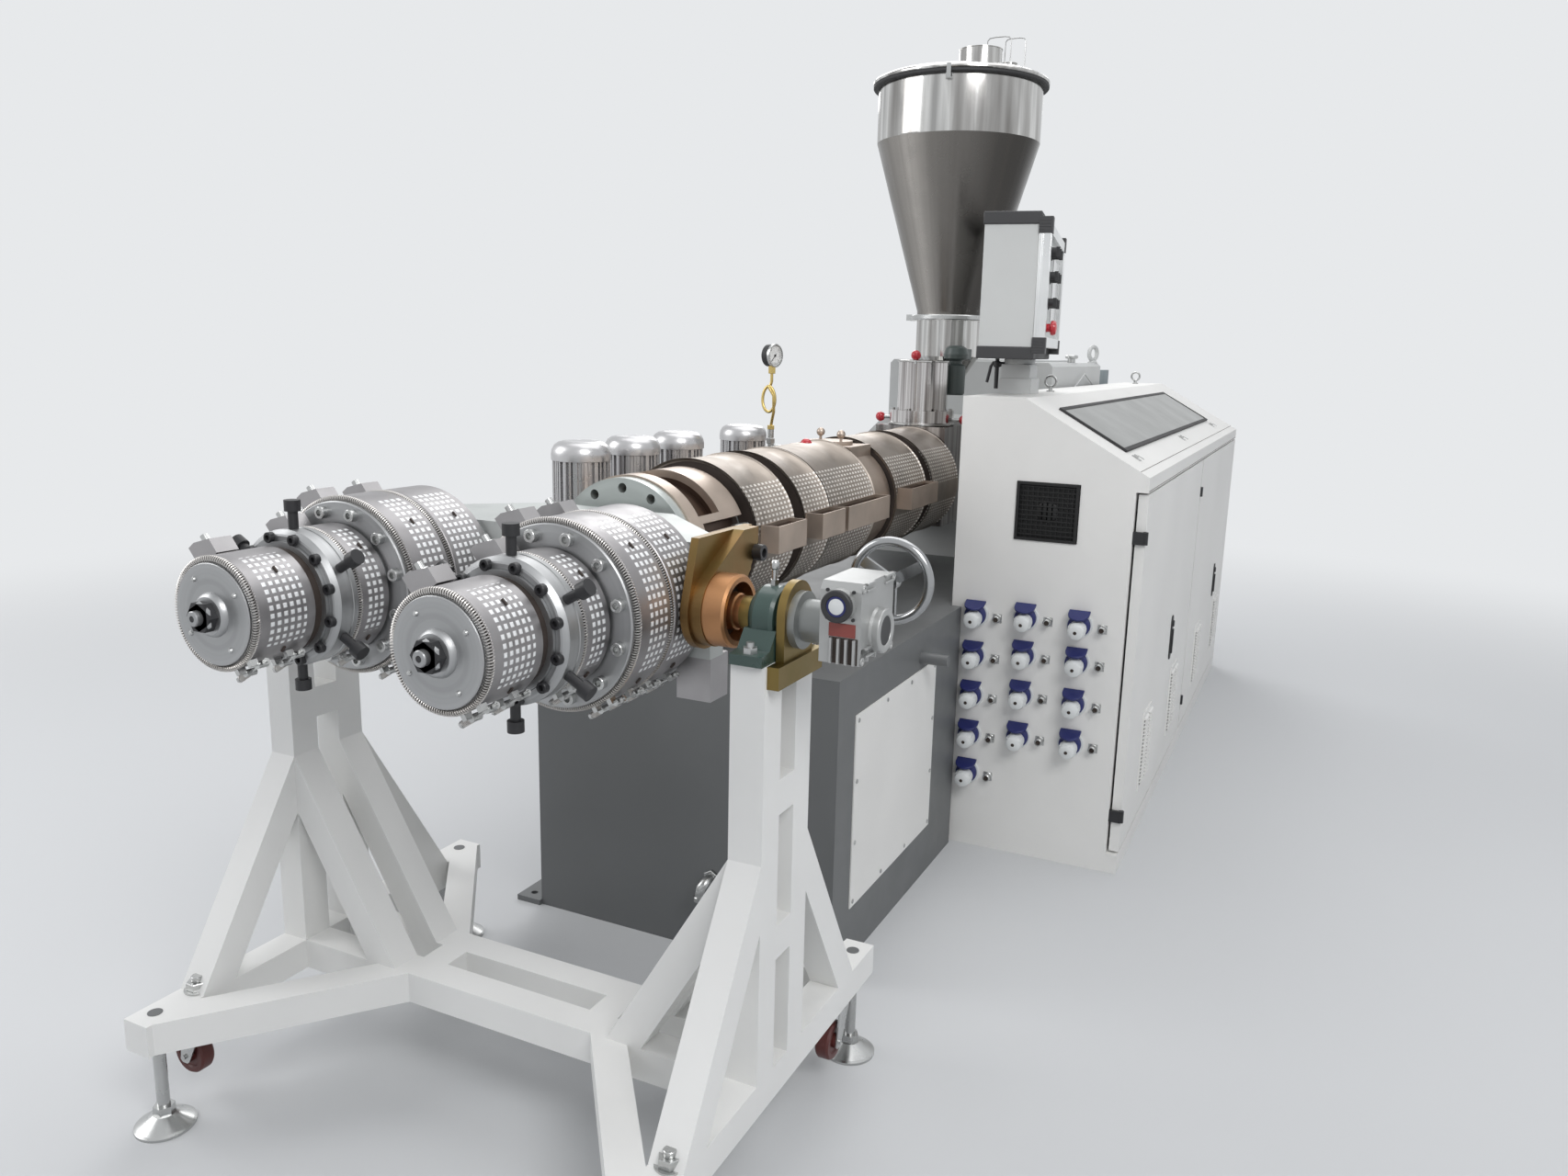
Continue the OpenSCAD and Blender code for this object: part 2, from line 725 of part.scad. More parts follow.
// Blowers beside the barrel: scroll casing below and upright motor above
blower_x = -356;
blower_y = [-304, -80, 146, 530];
blower_case_h = 130;
blower_case_r = 82;
blower_duct = 90;
blower_plate = 20;
motor_r = 68;
motor_ribs = 16;
motor_rib_w = 9;
motor_top = 1187;
blower_floor = axis_z - 20 - blower_duct;
module cooling_blowers() {
  color(bright) for (y = blower_y) translate([blower_x, y, 0]) {
    translate([-70, -70, base_h]) cube([140, 140, blower_floor - base_h]);
    translate([0, 0, blower_floor]) cylinder(h = blower_case_h, r = blower_case_r);
    difference() {
      translate([0, -40, blower_floor + 20]) cube([-blower_x - 150, 80, blower_duct]);
      translate([-blower_x, -41, axis_z]) rotate([-90, 0, 0])
        cylinder(h = 82, r = cover_r + seat);
    }
    translate([0, 0, blower_floor + blower_case_h]) cylinder(h = blower_plate, r = motor_r + 10);
    translate([0, 0, blower_floor + blower_case_h + blower_plate])
      linear_extrude(motor_top - 40 - blower_floor - blower_case_h - blower_plate) {
        circle(r = motor_r - 8);
        for (i = [0 : motor_ribs / 2 - 1]) rotate(i * 360 / motor_ribs)
          square([2 * motor_r - 1, motor_rib_w], center = true);
      }
    translate([0, 0, motor_top - 40]) rotate_extrude()
      polygon([[0, 0], [motor_r, 0], [motor_r, 12], [motor_r - 8, 30], [motor_r - 26, 40], [0, 40]]);
  }
}

// Vacuum gauge on a standpipe beside the vent
gauge_x = -150;
gauge_y = 300;
gauge_top = 1400;
module gauge_column() {
  color([0.65, 0.55, 0.3]) {
    translate([gauge_x, gauge_y + 60, 1130]) cylinder(h = gauge_top - 1130 - 20, r = 8);
    translate([gauge_x, gauge_y + 60, 1140]) rotate([0, 90, 0])
      cylinder(h = -gauge_x - vent_hw, r = 8);
    translate([gauge_x, gauge_y + 74, gauge_top]) rotate([90, 0, 0]) cylinder(h = 28, r = 31);
  }
}

// Feed throat on its saddle at the rear of the barrel
saddle_hw = 120;
saddle_top = 1176;
collar_r = throat_y - barrel_end - 3;
module feed_throat() {
  color(bright) {
    translate([-saddle_hw, barrel_end, axis_z - 150])
      cube([2 * saddle_hw, 2 * (throat_y - barrel_end), saddle_top - axis_z + 150]);
    translate([0, throat_y, saddle_top]) cylinder(h = 49, r = collar_r);
    translate([0, throat_y, saddle_top + 49])
      cylinder(h = throat_top - saddle_top - 49, r = throat_r);
  }
}

// Screw feeder: hopper outlet, tapered trough and the tube forward into the throat
feeder_z = throat_top - 74;
feeder_r = 40;
trough_top = throat_top;
module screw_feeder() {
  color(bright) {
    translate([0, hopper_y, 0]) rotate_extrude() polygon([
      [0, feeder_z - feeder_r], [feeder_r + 8, feeder_z - feeder_r], [feeder_r + 14, feeder_z],
      [outlet_r - 12, trough_top], [outlet_r, trough_top + 14], [outlet_r, cone_low - 10],
      [outlet_r + 18, cone_low - 10], [outlet_r + 18, cone_low], [0, cone_low]
    ]);
    difference() {
      translate([0, throat_y, feeder_z]) rotate([-90, 0, 0])
        cylinder(h = hopper_y - throat_y, r = feeder_r);
      translate([0, throat_y, feeder_z - feeder_r - 1])
        cylinder(h = 2 * feeder_r + 2, r = throat_r + seat);
    }
  }
}

// Feeder drive: bearing housing behind the trough, gear head and upright motor
drive_x = feeder_r + 36;
drive_y = hopper_y - outlet_r - 26;
drive_z = throat_top + 26;
module feeder_motor() {
  color([0.20, 0.24, 0.23]) {
    translate([drive_x, drive_y, 0]) rotate_extrude() polygon([
      [0, drive_z - 140], [30, drive_z - 140], [34, drive_z - 134], [34, drive_z - 42],
      [22, drive_z - 36], [22, drive_z - 26], [40, drive_z - 18], [42, drive_z - 4],
      [36, drive_z + 16], [22, drive_z + 24], [0, drive_z + 26]
    ]);
    difference() {
      translate([drive_x - 24, drive_y, drive_z - 20]) cube([60, 60, 34]);
      translate([0, hopper_y, drive_z - 30]) cylinder(h = 60, r = outlet_r + seat);
    }
  }
}

// Hopper: cylinder and cone in sheet, open below
module hopper() {
  color(bright) translate([0, hopper_y, 0]) rotate_extrude()
    polygon([
      [outlet_r - hopper_t, cone_low], [outlet_r + 18, cone_low],
      [outlet_r + 18, cone_low + 8], [outlet_r, cone_low + 8], [outlet_r, cone_low + 20],
      [hopper_r, cone_high], [hopper_r, hopper_top - 6], [hopper_r + rim_w, hopper_top - 6],
      [hopper_r + rim_w, hopper_top], [hopper_r - hopper_t, hopper_top],
      [hopper_r - hopper_t, cone_high], [outlet_r - hopper_t, cone_low + 20]
    ]);
}

rim_w = 14;
skirt_t = 3;
skirt_h = 10;
lid_r = hopper_r + rim_w + seat + skirt_t;
lid_rise = 48;
nozzle_r = 70;
nozzle_h = 64;
nozzle2_r = 26;
module hopper_lid() {
  color(bright) translate([0, hopper_y, hopper_top]) {
    rotate_extrude() polygon([
      [0, 0], [lid_r - skirt_t, 0], [lid_r - skirt_t, -skirt_h], [lid_r, -skirt_h], [lid_r, 8],
      [lid_r - 8, 18], [nozzle_r + 20, lid_rise], [0, lid_rise]
    ]);
    translate([nozzle_r, -20, lid_rise - 10]) cylinder(h = nozzle_h + 10, r = nozzle_r);
    translate([2 * nozzle_r + 16, 20, 26]) cylinder(h = lid_rise + 24, r = nozzle2_r);
  }
}

// Base: stepped plinth in sheet with anchor plates and the barrel support
plate_t = 14;
plate_hole_r = 9;
support_y = -205;
support_len = 46;
bar_y = 154;
bar_z = 643;
bar_r = 15;
bar_out = 74;
module base_frame() {
  color(grey_paint) difference() {
    union() {
      translate([-base_left, -base_front, 0])
        cube([base_left + base_right, base_front + base_step, base_h]);
      translate([-base_left, base_step, 0])
        cube([base_left + rear_right, base_rear - base_step, base_h]);
      // Anchor plates
      for (y = [-base_front + 60, base_step + 300, base_rear - 90])
        translate([-base_left - 70, y - 70, 0]) cube([71, 140, plate_t]);
      // Round bar on the right side
      translate([base_right - 1, bar_y, bar_z]) rotate([0, 90, 0]) cylinder(h = bar_out + 1, r = bar_r);
      // Barrel support saddle
      translate([-110, support_y, base_h]) cube([220, support_len, axis_z - 60 - base_h]);
    }
    translate([0, support_y - 1, axis_z]) rotate([-90, 0, 0])
      cylinder(h = support_len + 2, r = barrel_r + seat);
    for (y = [-base_front + 60, base_step + 300, base_rear - 90])
      for (s = [-1, 1])
        translate([-base_left - 38, y + s * anchor_gap / 2, -1])
          cylinder(h = plate_t + 2, r = plate_hole_r);
  }
}

module base_side_panels() {
  color(white_paint) translate([base_right, -286, 139]) cube([panel_t, 562, 471]);
}

// Main gearbox: lantern behind the throat, then the split case with its flange
gear_y0 = 2 * throat_y - barrel_end;
gear_step = 1660;
gear_y1 = 2560;
gear_low_top = 1190;
gear_top = 1388;
gear_hw = 325;
lantern_hw = 240;
case_flange = 24;
case_in = 12;
cover_h = 8;
module main_gearbox() {
  color([0.72, 0.74, 0.74]) {
    translate([0, gear_step + 1, 0]) rotate([90, 0, 0]) linear_extrude(gear_step + 1 - gear_y0)
      polygon([
        [-lantern_hw - 40, base_h], [lantern_hw + 40, base_h], [lantern_hw + 40, base_h + 30],
        [lantern_hw, base_h + 50], [lantern_hw, gear_low_top - 60],
        [lantern_hw - 60, gear_low_top], [-lantern_hw + 60, gear_low_top],
        [-lantern_hw, gear_low_top - 60], [-lantern_hw, base_h + 50], [-lantern_hw - 40, base_h + 30]
      ]);
    translate([0, gear_y1, 0]) rotate([90, 0, 0]) linear_extrude(gear_y1 - gear_step)
      polygon([
        [-gear_hw, base_h], [gear_hw, base_h], [gear_hw, base_h + case_flange],
        [gear_hw - case_in, base_h + case_flange], [gear_hw - case_in, axis_z - case_flange],
        [gear_hw, axis_z - case_flange], [gear_hw, axis_z + case_flange],
        [gear_hw - case_in, axis_z + case_flange], [gear_hw - case_in, gear_top - 14],
        [gear_hw - case_in - 14, gear_top], [-gear_hw + case_in + 14, gear_top],
        [-gear_hw + case_in, gear_top - 14], [-gear_hw + case_in, axis_z + case_flange],
        [-gear_hw, axis_z + case_flange], [-gear_hw, axis_z - case_flange],
        [-gear_hw + case_in, axis_z - case_flange], [-gear_hw + case_in, base_h + case_flange],
        [-gear_hw, base_h + case_flange]
      ]);
    // Inspection cover
    translate([-gear_hw + 110, gear_step + 120, gear_top - 1])
      cube([2 * gear_hw - 220, gear_y1 - gear_step - 240, cover_h + 1]);
  }
}

// Main motor: finned barrel on feet, coupled to the gearbox
coupling_len = 100;
coupling_r = 110;
motor_y0 = gear_y1 + coupling_len;
motor_len = 620;
motor_body_r = 255;
motor_fin = 10;
motor_z = base_h + 316;
motor_foot = 120;
fan_cover = 150;
motor_hw = 260;
box_w = 200;
box_len = 300;
module main_motor() {
  color([0.33, 0.38, 0.40]) {
    translate([0, motor_y0, motor_z]) rotate([-90, 0, 0]) {
      linear_extrude(motor_len - fan_cover) {
        circle(r = motor_body_r - motor_fin);
        for (i = [0 : 11]) rotate(i * 15) square([2 * motor_body_r, 12], center = true);
      }
      cylinder(h = 30, r = motor_body_r + 4);
      translate([0, 0, motor_len - fan_cover]) cylinder(h = fan_cover - 40, r = motor_body_r + 8);
      translate([0, 0, motor_len - 40])
        cylinder(h = 40, r1 = motor_body_r + 8, r2 = motor_body_r - 40);
    }
    for (y = [motor_y0 + 60, motor_y0 + motor_len - fan_cover - motor_foot - 20])
      translate([-motor_hw, y, base_h]) cube([2 * motor_hw, motor_foot, motor_z - base_h - 100]);
    translate([0, gear_y1, motor_z]) rotate([-90, 0, 0]) cylinder(h = coupling_len + 1, r = coupling_r);
    translate([60, motor_y0 + 90, motor_z + motor_body_r - 80]) cube([box_w, box_len, 150]);
  }
}

// Cabinet shell: sheet box with a sloped front corner, open to the doors
cab_left = rear_right;
cab_body = cab_right - door_t - door_gap;
cab_mid = cab_front + cab_len / 2;
post_w = 30;
fan_x = cab_left + 168;
fan_z = 917;
fan_w = 170;
fan_h = 161;
window_in = 78;
window_front = 155;
window_w = 200;
window_run = 1960;
window_lap = 8;
window_t = 5;
brow_low = door_high + door_gap;
sill_high = door_low - door_gap;
slope_x = cab_left + cab_flat;
slope_angle = atan2(cab_h - cab_side_h, cab_right - slope_x);
module along_cab(length) {
  translate([0, cab_front + cab_len, 0]) rotate([90, 0, 0]) linear_extrude(length) children();
}

module cabinet_shell() {
  bay = cab_len / 2;
  color(white_paint) difference() {
    along_cab(cab_len) polygon([
      [cab_left, 0], [cab_right, 0], [cab_right, sill_high], [cab_body, sill_high],
      [cab_body, brow_low], [cab_right, brow_low], [cab_right, cab_side_h],
      [slope_x, cab_h], [cab_left, cab_h]
    ]);
    translate([0, -cab_t, 0]) along_cab(cab_len - 2 * cab_t) polygon([
      [cab_left + cab_t, cab_t], [cab_body - cab_t, cab_t], [cab_body - cab_t, cab_side_h],
      [slope_x, cab_h - cab_t * 1.6], [cab_left + cab_t, cab_h - cab_t]
    ]);
    for (i = [0, 1])
      translate([cab_body - 20, cab_front + i * bay + post_w, door_low + 20])
        cube([40, bay - 2 * post_w, door_high - door_low - 40]);
    // Fan opening in the front
    translate([fan_x, cab_front - 1, fan_z]) cube([fan_w, cab_t + 2, fan_h]);
    // Window in the slope
    translate([slope_x, 0, cab_h]) rotate([0, slope_angle, 0])
      translate([window_in, cab_front + window_front, -cab_t - 4])
        cube([window_w, window_run, 2 * cab_t + 8]);
  }
}

// Sloped window let into the slope
module cabinet_window() {
  color([0.45, 0.46, 0.46])
    translate([slope_x, 0, cab_h]) rotate([0, slope_angle, 0])
      translate([window_in - window_lap, cab_front + window_front - window_lap, 0])
        cube([window_w + 2 * window_lap, window_run + 2 * window_lap, window_t]);
}

// Socket rows on the front face
socket_cols = [[409, [693, 575, 458, 341, 225]], [551, [701, 594, 479, 357]], [699, [698, 594, 476, 360]]];
module cabinet_sockets() {
  color([0.12, 0.17, 0.42])
    for (c = socket_cols, z = c[1])
      translate([c[0], cab_front, z]) {
        rotate([90, 0, 0]) cylinder(h = 26, r = 34);
        translate([-30, -24, 28]) rotate([-25, 0, 0]) translate([0, -46, -4]) cube([60, 46, 6]);
        rotate([102, 0, 0]) translate([0, 2, 20]) cylinder(h = 66, r = 24);
      }
}

// Doors: shallow pans hinged on their front edges
hinge_r = 7;
hinge_h = 34;
hinge_zs = [150, 930];
hinge_tab = 9;
module door_pan(y0, y1) {
  difference() {
    translate([cab_right - door_t, y0, door_low]) cube([door_t, y1 - y0, door_high - door_low]);
    translate([cab_right - door_t - 1, y0 + 3, door_low + 3])
      cube([door_t - 2, y1 - y0 - 6, door_high - door_low - 6]);
    for (z = hinge_zs)
      translate([cab_right, y0 - 1, z - 1]) cylinder(h = hinge_h + 2, r = hinge_r + seat);
  }
}

door1_y0 = cab_front + 12;
door1_y1 = cab_mid - 8;
door2_y0 = cab_mid + 10;
door2_y1 = cab_front + cab_len - 2;
module cabinet_door_front() color(white_paint) door_pan(door1_y0, door1_y1);
module cabinet_door_rear() color(white_paint) door_pan(door2_y0, door2_y1);

module cabinet_hinges() {
  color(black) for (y0 = [door1_y0, door2_y0], z = hinge_zs) {
    translate([cab_right, y0 - 1, z]) cylinder(h = hinge_h, r = hinge_r);
    translate([cab_body, y0 - 2 - hinge_tab, z])
      cube([cab_right - cab_body, hinge_tab, hinge_h]);
  }
}

// Operator box turned on its clamped column: sheet core between end caps, with a framed panel
box_gap = seat;
box_low = cab_h + column_h;
cap_h = 34;
cap_out = 4;
profile_w = 30;
bezel_in = 12;
column_hw = 48;
column_x = cab_left + column_hw;
column_y = cab_front + 400;
column_head = 42;
module control_box() {
  core_len = panel_len - 2 * cap_out;
  color(white_paint) translate([column_x, column_y, box_low]) rotate([0, 0, panel_turn])
    translate([-panel_w / 2, -panel_len / 2, 0]) {
      for (z = [0, panel_h - cap_h]) translate([0, 0, z]) cube([panel_w, panel_len, cap_h]);
      difference() {
        translate([cap_out, cap_out, 1]) cube([panel_w - 2 * cap_out, core_len, panel_h - 2]);
        translate([panel_w - cap_out - bezel_in, cap_out + profile_w, cap_h + profile_w])
          cube([
            bezel_in + 1, core_len - 2 * profile_w, panel_h - 2 * cap_h - 2 * profile_w
          ]);
      }
    }
}

module control_column() {
  color([0.72, 0.73, 0.73]) {
    translate([column_x - column_hw, column_y - column_hw, cab_h])
      cube([2 * column_hw, 2 * column_hw, column_h - column_head]);
    translate([column_x, column_y, cab_h]) cylinder(h = column_h - box_gap, r = column_hw - 4);
  }
}

stand_left_frame();
stand_right_frame();
stand_cross_beams();
levelling_feet();
caster_fork(-1, -1, 90);  // caster_fork_front_left
caster_fork(1, -1, 0);  // caster_fork_front_right
caster_fork(-1, 1, 180);  // caster_fork_rear_left
caster_fork(1, 1, 180);  // caster_fork_rear_right
caster_wheel(-1, -1, 90);  // caster_wheel_front_left
caster_wheel(1, -1, 0);  // caster_wheel_front_right
caster_wheel(-1, 1, 180);  // caster_wheel_rear_left
caster_wheel(1, 1, 180);  // caster_wheel_rear_right
bearing_blocks();
drive_bracket();
worm_gearbox();
handwheel();
die_manifold();
trunnion_brackets();
die_heads();
die_clamp_rings();
heater_bands_front();
heater_bands_middle();
heater_bands_rear();
die_screws();
heater_terminal_boxes();
barrel();
barrel_sleeve();
barrel_covers();
air_outlets();
vent_housing();
cooling_blowers();
gauge_column();
feed_throat();
screw_feeder();
feeder_motor();
hopper();
hopper_lid();
base_frame();
base_side_panels();
main_gearbox();
main_motor();
cabinet_shell();
cabinet_window();
cabinet_sockets();
cabinet_door_front();
cabinet_door_rear();
cabinet_hinges();
control_box();
control_column();
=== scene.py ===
import bpy
import bmesh
from math import atan2, copysign, cos, pi, radians, sin
from mathutils import Matrix, Vector


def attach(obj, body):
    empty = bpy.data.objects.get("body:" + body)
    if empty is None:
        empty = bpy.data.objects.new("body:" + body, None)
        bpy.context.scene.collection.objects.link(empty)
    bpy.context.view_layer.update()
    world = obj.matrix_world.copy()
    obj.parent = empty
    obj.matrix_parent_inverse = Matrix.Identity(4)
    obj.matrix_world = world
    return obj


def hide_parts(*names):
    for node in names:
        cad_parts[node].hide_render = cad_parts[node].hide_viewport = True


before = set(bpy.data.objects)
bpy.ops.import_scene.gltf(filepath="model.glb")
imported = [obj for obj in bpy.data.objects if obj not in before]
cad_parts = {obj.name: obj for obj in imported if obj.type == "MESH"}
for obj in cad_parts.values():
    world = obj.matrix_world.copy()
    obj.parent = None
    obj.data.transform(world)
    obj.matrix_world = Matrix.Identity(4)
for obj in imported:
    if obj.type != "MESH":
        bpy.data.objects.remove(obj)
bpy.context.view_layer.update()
scene = bpy.context.scene
X, Y, Z = (1, 0, 0), (0, 1, 0), (0, 0, 1)
AXIS_Z = 1.0  # height of the barrel and the trunnions
DIE_Y = -1.0  # trunnion axis
BARREL = (0, 0, AXIS_Z)
HOPPER = (0, 1.39, 0)
THROAT = (0, 1.145, 0)

# ---- camera
SENSOR_MM = 36.0
PHOTO_WIDTH_PX = 1706
FOCAL_PX = 1253.04


def make_camera():
    data = bpy.data.cameras.new("camera")
    data.sensor_width = SENSOR_MM
    data.lens = FOCAL_PX / PHOTO_WIDTH_PX * SENSOR_MM
    data.clip_end = 60
    cam = bpy.data.objects.new("camera", data)
    scene.collection.objects.link(cam)
    right = Vector((0.89974246, 0.43580698, 0.02314686))
    up = Vector((-0.10872868, 0.17247813, 0.97899406))
    back = right.cross(up)
    turn = Matrix((right, up, back)).transposed().to_4x4()
    cam.matrix_world = Matrix.Translation((1.28961, -2.59502, 1.4126)) @ turn
    scene.camera = cam


make_camera()


# ---- materials
def new_node(tree, kind, **values):
    node = tree.nodes.new(kind)
    for key, value in values.items():
        setattr(node, key, value)
    return node


class Nodes:
    """A material with a Principled shader and short calls for its procedural inputs."""

    def __init__(self, name, color, metal, rough):
        self.mat = bpy.data.materials.new(name)
        self.mat.use_nodes = True
        self.tree = self.mat.node_tree
        self.shader = self.tree.nodes["Principled BSDF"]
        self.shader.inputs["Base Color"].default_value = (*color, 1)
        self.shader.inputs["Metallic"].default_value = metal
        self.shader.inputs["Roughness"].default_value = rough
        self.coord = self.add("ShaderNodeTexCoord").outputs["Object"]
        self.color = None
        self.height = None

    def add(self, kind, **values):
        return new_node(self.tree, kind, **values)

    def link(self, a, b):
        if isinstance(a, (int, float)):
            b.default_value = a
        else:
            self.tree.links.new(a, b)

    def math(self, op, a, b=0.0, c=0.0):
        node = self.add("ShaderNodeMath", operation=op)
        for value, socket in zip((a, b, c), node.inputs):
            self.link(value, socket)
        return node.outputs[0]

    def minus(self, a, b):
        return self.math("SUBTRACT", a, b)

    def times(self, a, b):
        return self.math("MULTIPLY", a, b)

    def radius(self, a, b):
        return self.math("SQRT", self.math("ADD", self.times(a, a), self.times(b, b)))

    def between(self, value, low, high):
        """1 where value lies between low and high."""
        over, under = self.math("GREATER_THAN", value, low), self.math("LESS_THAN", value, high)
        return self.times(over, under)

    def xyz(self):
        node = self.add("ShaderNodeSeparateXYZ")
        self.link(self.coord, node.inputs[0])
        return node.outputs

    def vector(self, x, y, z):
        node = self.add("ShaderNodeCombineXYZ")
        for value, socket in zip((x, y, z), node.inputs):
            self.link(value, socket)
        return node.outputs[0]

    def noise(self, scale, detail, vector=None, stretch=None):
        source = vector if vector is not None else self.coord
        if stretch:
            mapping = self.add("ShaderNodeMapping")
            mapping.inputs["Scale"].default_value = stretch
            self.link(source, mapping.inputs["Vector"])
            source = mapping.outputs[0]
        node = self.add("ShaderNodeTexNoise")
        node.inputs["Scale"].default_value = scale
        node.inputs["Detail"].default_value = detail
        self.link(source, node.inputs["Vector"])
        return node.outputs["Fac"]

    def ramp(self, fac, stops):
        node = self.add("ShaderNodeValToRGB")
        ramp = node.color_ramp
        while len(ramp.elements) < len(stops):
            ramp.elements.new(0.5)
        for element, (place, value) in zip(ramp.elements, stops):
            element.position = place
            element.color = (*value, 1) if isinstance(value, tuple) else (value,) * 3 + (1,)
        self.link(fac, node.inputs[0])
        return node.outputs[0]

    def mix(self, fac, a, b):
        node = self.add("ShaderNodeMix", data_type="RGBA")
        self.link(fac, node.inputs[0])
        for value, socket in ((a, node.inputs[6]), (b, node.inputs[7])):
            if isinstance(value, tuple):
                socket.default_value = (*value, 1)
            else:
                self.link(value, socket)
        return node.outputs[2]

    def vary(self, color, amount, scale, detail=4.0):
        lo = tuple(c * (1 - amount) for c in color)
        hi = tuple(min(1, c * (1 + amount)) for c in color)
        self.color = self.ramp(self.noise(scale, detail), [(0.3, lo), (0.7, hi)])
        return self

    def rough(self, lo, hi, scale):
        fac = self.ramp(self.noise(scale, 4), [(0.3, lo), (0.7, hi)])
        self.link(fac, self.shader.inputs["Roughness"])
        return self

    def bump(self, height, strength, distance):
        node = self.add("ShaderNodeBump")
        node.inputs["Strength"].default_value = strength
        node.inputs["Distance"].default_value = distance
        self.link(height, node.inputs["Height"])
        if self.height is not None:
            self.link(self.height, node.inputs["Normal"])
        self.height = node.outputs[0]
        return self

    def dirt(self, color, low, high, scale, amount):
        mask = self.ramp(self.noise(scale, 8), [(low, 0.0), (high, amount)])
        self.color = self.mix(mask, self.color, color)
        return self

    def done(self):
        if self.color is not None:
            self.link(self.color, self.shader.inputs["Base Color"])
        if self.height is not None:
            self.link(self.height, self.shader.inputs["Normal"])
        return self.mat


def paint(name, color, rough, peel, dust, coat=0.0):
    n = Nodes(name, color, 0.0, rough).vary(color, 0.035, 3.0)
    n.dirt(tuple(c * 0.62 + 0.03 for c in color), 0.52, 0.85, 2.2, dust)
    n.rough(rough - 0.06, rough + 0.1, 6)
    n.bump(n.noise(420, 2), peel, 0.0004)
    n.shader.inputs["Coat Weight"].default_value = coat
    return n.done()


def metal(name, color, rough, grain, stretch=(1, 1, 1), var=0.08, metallic=1.0, inside=None):
    """Metal with a fine grain; inside holds a measure, its limit and the colour below it."""
    n = Nodes(name, color, metallic, rough).vary(color, var, 9.0)
    if inside:
        measure, limit, below = inside
        x, y, z = n.xyz()
        value = n.radius(x, n.minus(z, AXIS_Z)) if measure == "radius" else x
        n.color = n.mix(n.math("LESS_THAN", value, limit), n.color, below)
    n.rough(rough - 0.07, rough + 0.09, 14)
    n.bump(n.noise(260, 2, stretch=stretch), grain, 0.0003)
    return n.done()


def turned(name, color, rough, metallic, centre=0.0):
    """Steel turned about an axis along Y, or about a pair of them at centre on both sides."""
    n = Nodes(name, color, metallic, rough)
    x, y, z = n.xyz()
    dx = n.minus(n.math("ABSOLUTE", x) if centre else x, centre)
    radius = n.radius(dx, n.minus(z, AXIS_Z))
    rings = n.noise(900, 2, vector=n.vector(radius, y, 0.0))
    wide = n.noise(70, 3, vector=n.vector(radius, y, 0.0))
    n.color = n.ramp(wide, [(0.3, tuple(c * 0.88 for c in color)),
        (0.7, tuple(min(1, c * 1.08) for c in color))])
    n.rough(rough - 0.06, rough + 0.08, 20)
    n.bump(rings, 0.22, 0.0003)
    return n.done()


PERFORATED_ROUGH = 0.42


def perforated(name, color, radius, windows, pitch, hole, dot, margin=None, along_pitch=None):
    """Sheet with square dots in patches, on the UVs that polar_uv gives."""
    n = Nodes(name, color, 1.0, PERFORATED_ROUGH)
    uv = n.add("ShaderNodeTexCoord").outputs["UV"]
    node = n.add("ShaderNodeSeparateXYZ")
    n.link(uv, node.inputs[0])
    turn, along = node.outputs[0], node.outputs[1]
    across = n.times(turn, 2 * pi * radius / pitch)
    down = n.times(along, 1 / (along_pitch or pitch))
    inside = None
    for value in (across, down):
        off = n.math("ABSOLUTE", n.minus(n.math("FRACT", value), 0.5))
        edge = n.ramp(off, [(hole / 2 - 0.05, 1.0), (hole / 2 + 0.05, 0.0)])
        inside = edge if inside is None else n.times(inside, edge)
    patch = None
    for low, high in windows:
        here = n.between(turn, low, high)
        patch = here if patch is None else n.math("MAXIMUM", patch, here)
    if margin:
        patch = n.times(patch, n.between(along, *margin))
    dots = n.times(inside, patch)
    n.vary(color, 0.12, 14, detail=5)
    n.dirt(tuple(c * 0.55 for c in color), 0.55, 0.8, 7, 0.35)
    n.color = n.mix(dots, n.color, dot)
    n.link(n.ramp(dots, [(0.0, 0.92), (1.0, 0.35)]), n.shader.inputs["Metallic"])
    n.rough(PERFORATED_ROUGH - 0.08, PERFORATED_ROUGH + 0.12, 22)
    n.bump(dots, 0.5, 0.0012)
    n.bump(n.noise(120, 3), 0.05, 0.0006)
    return n.done()


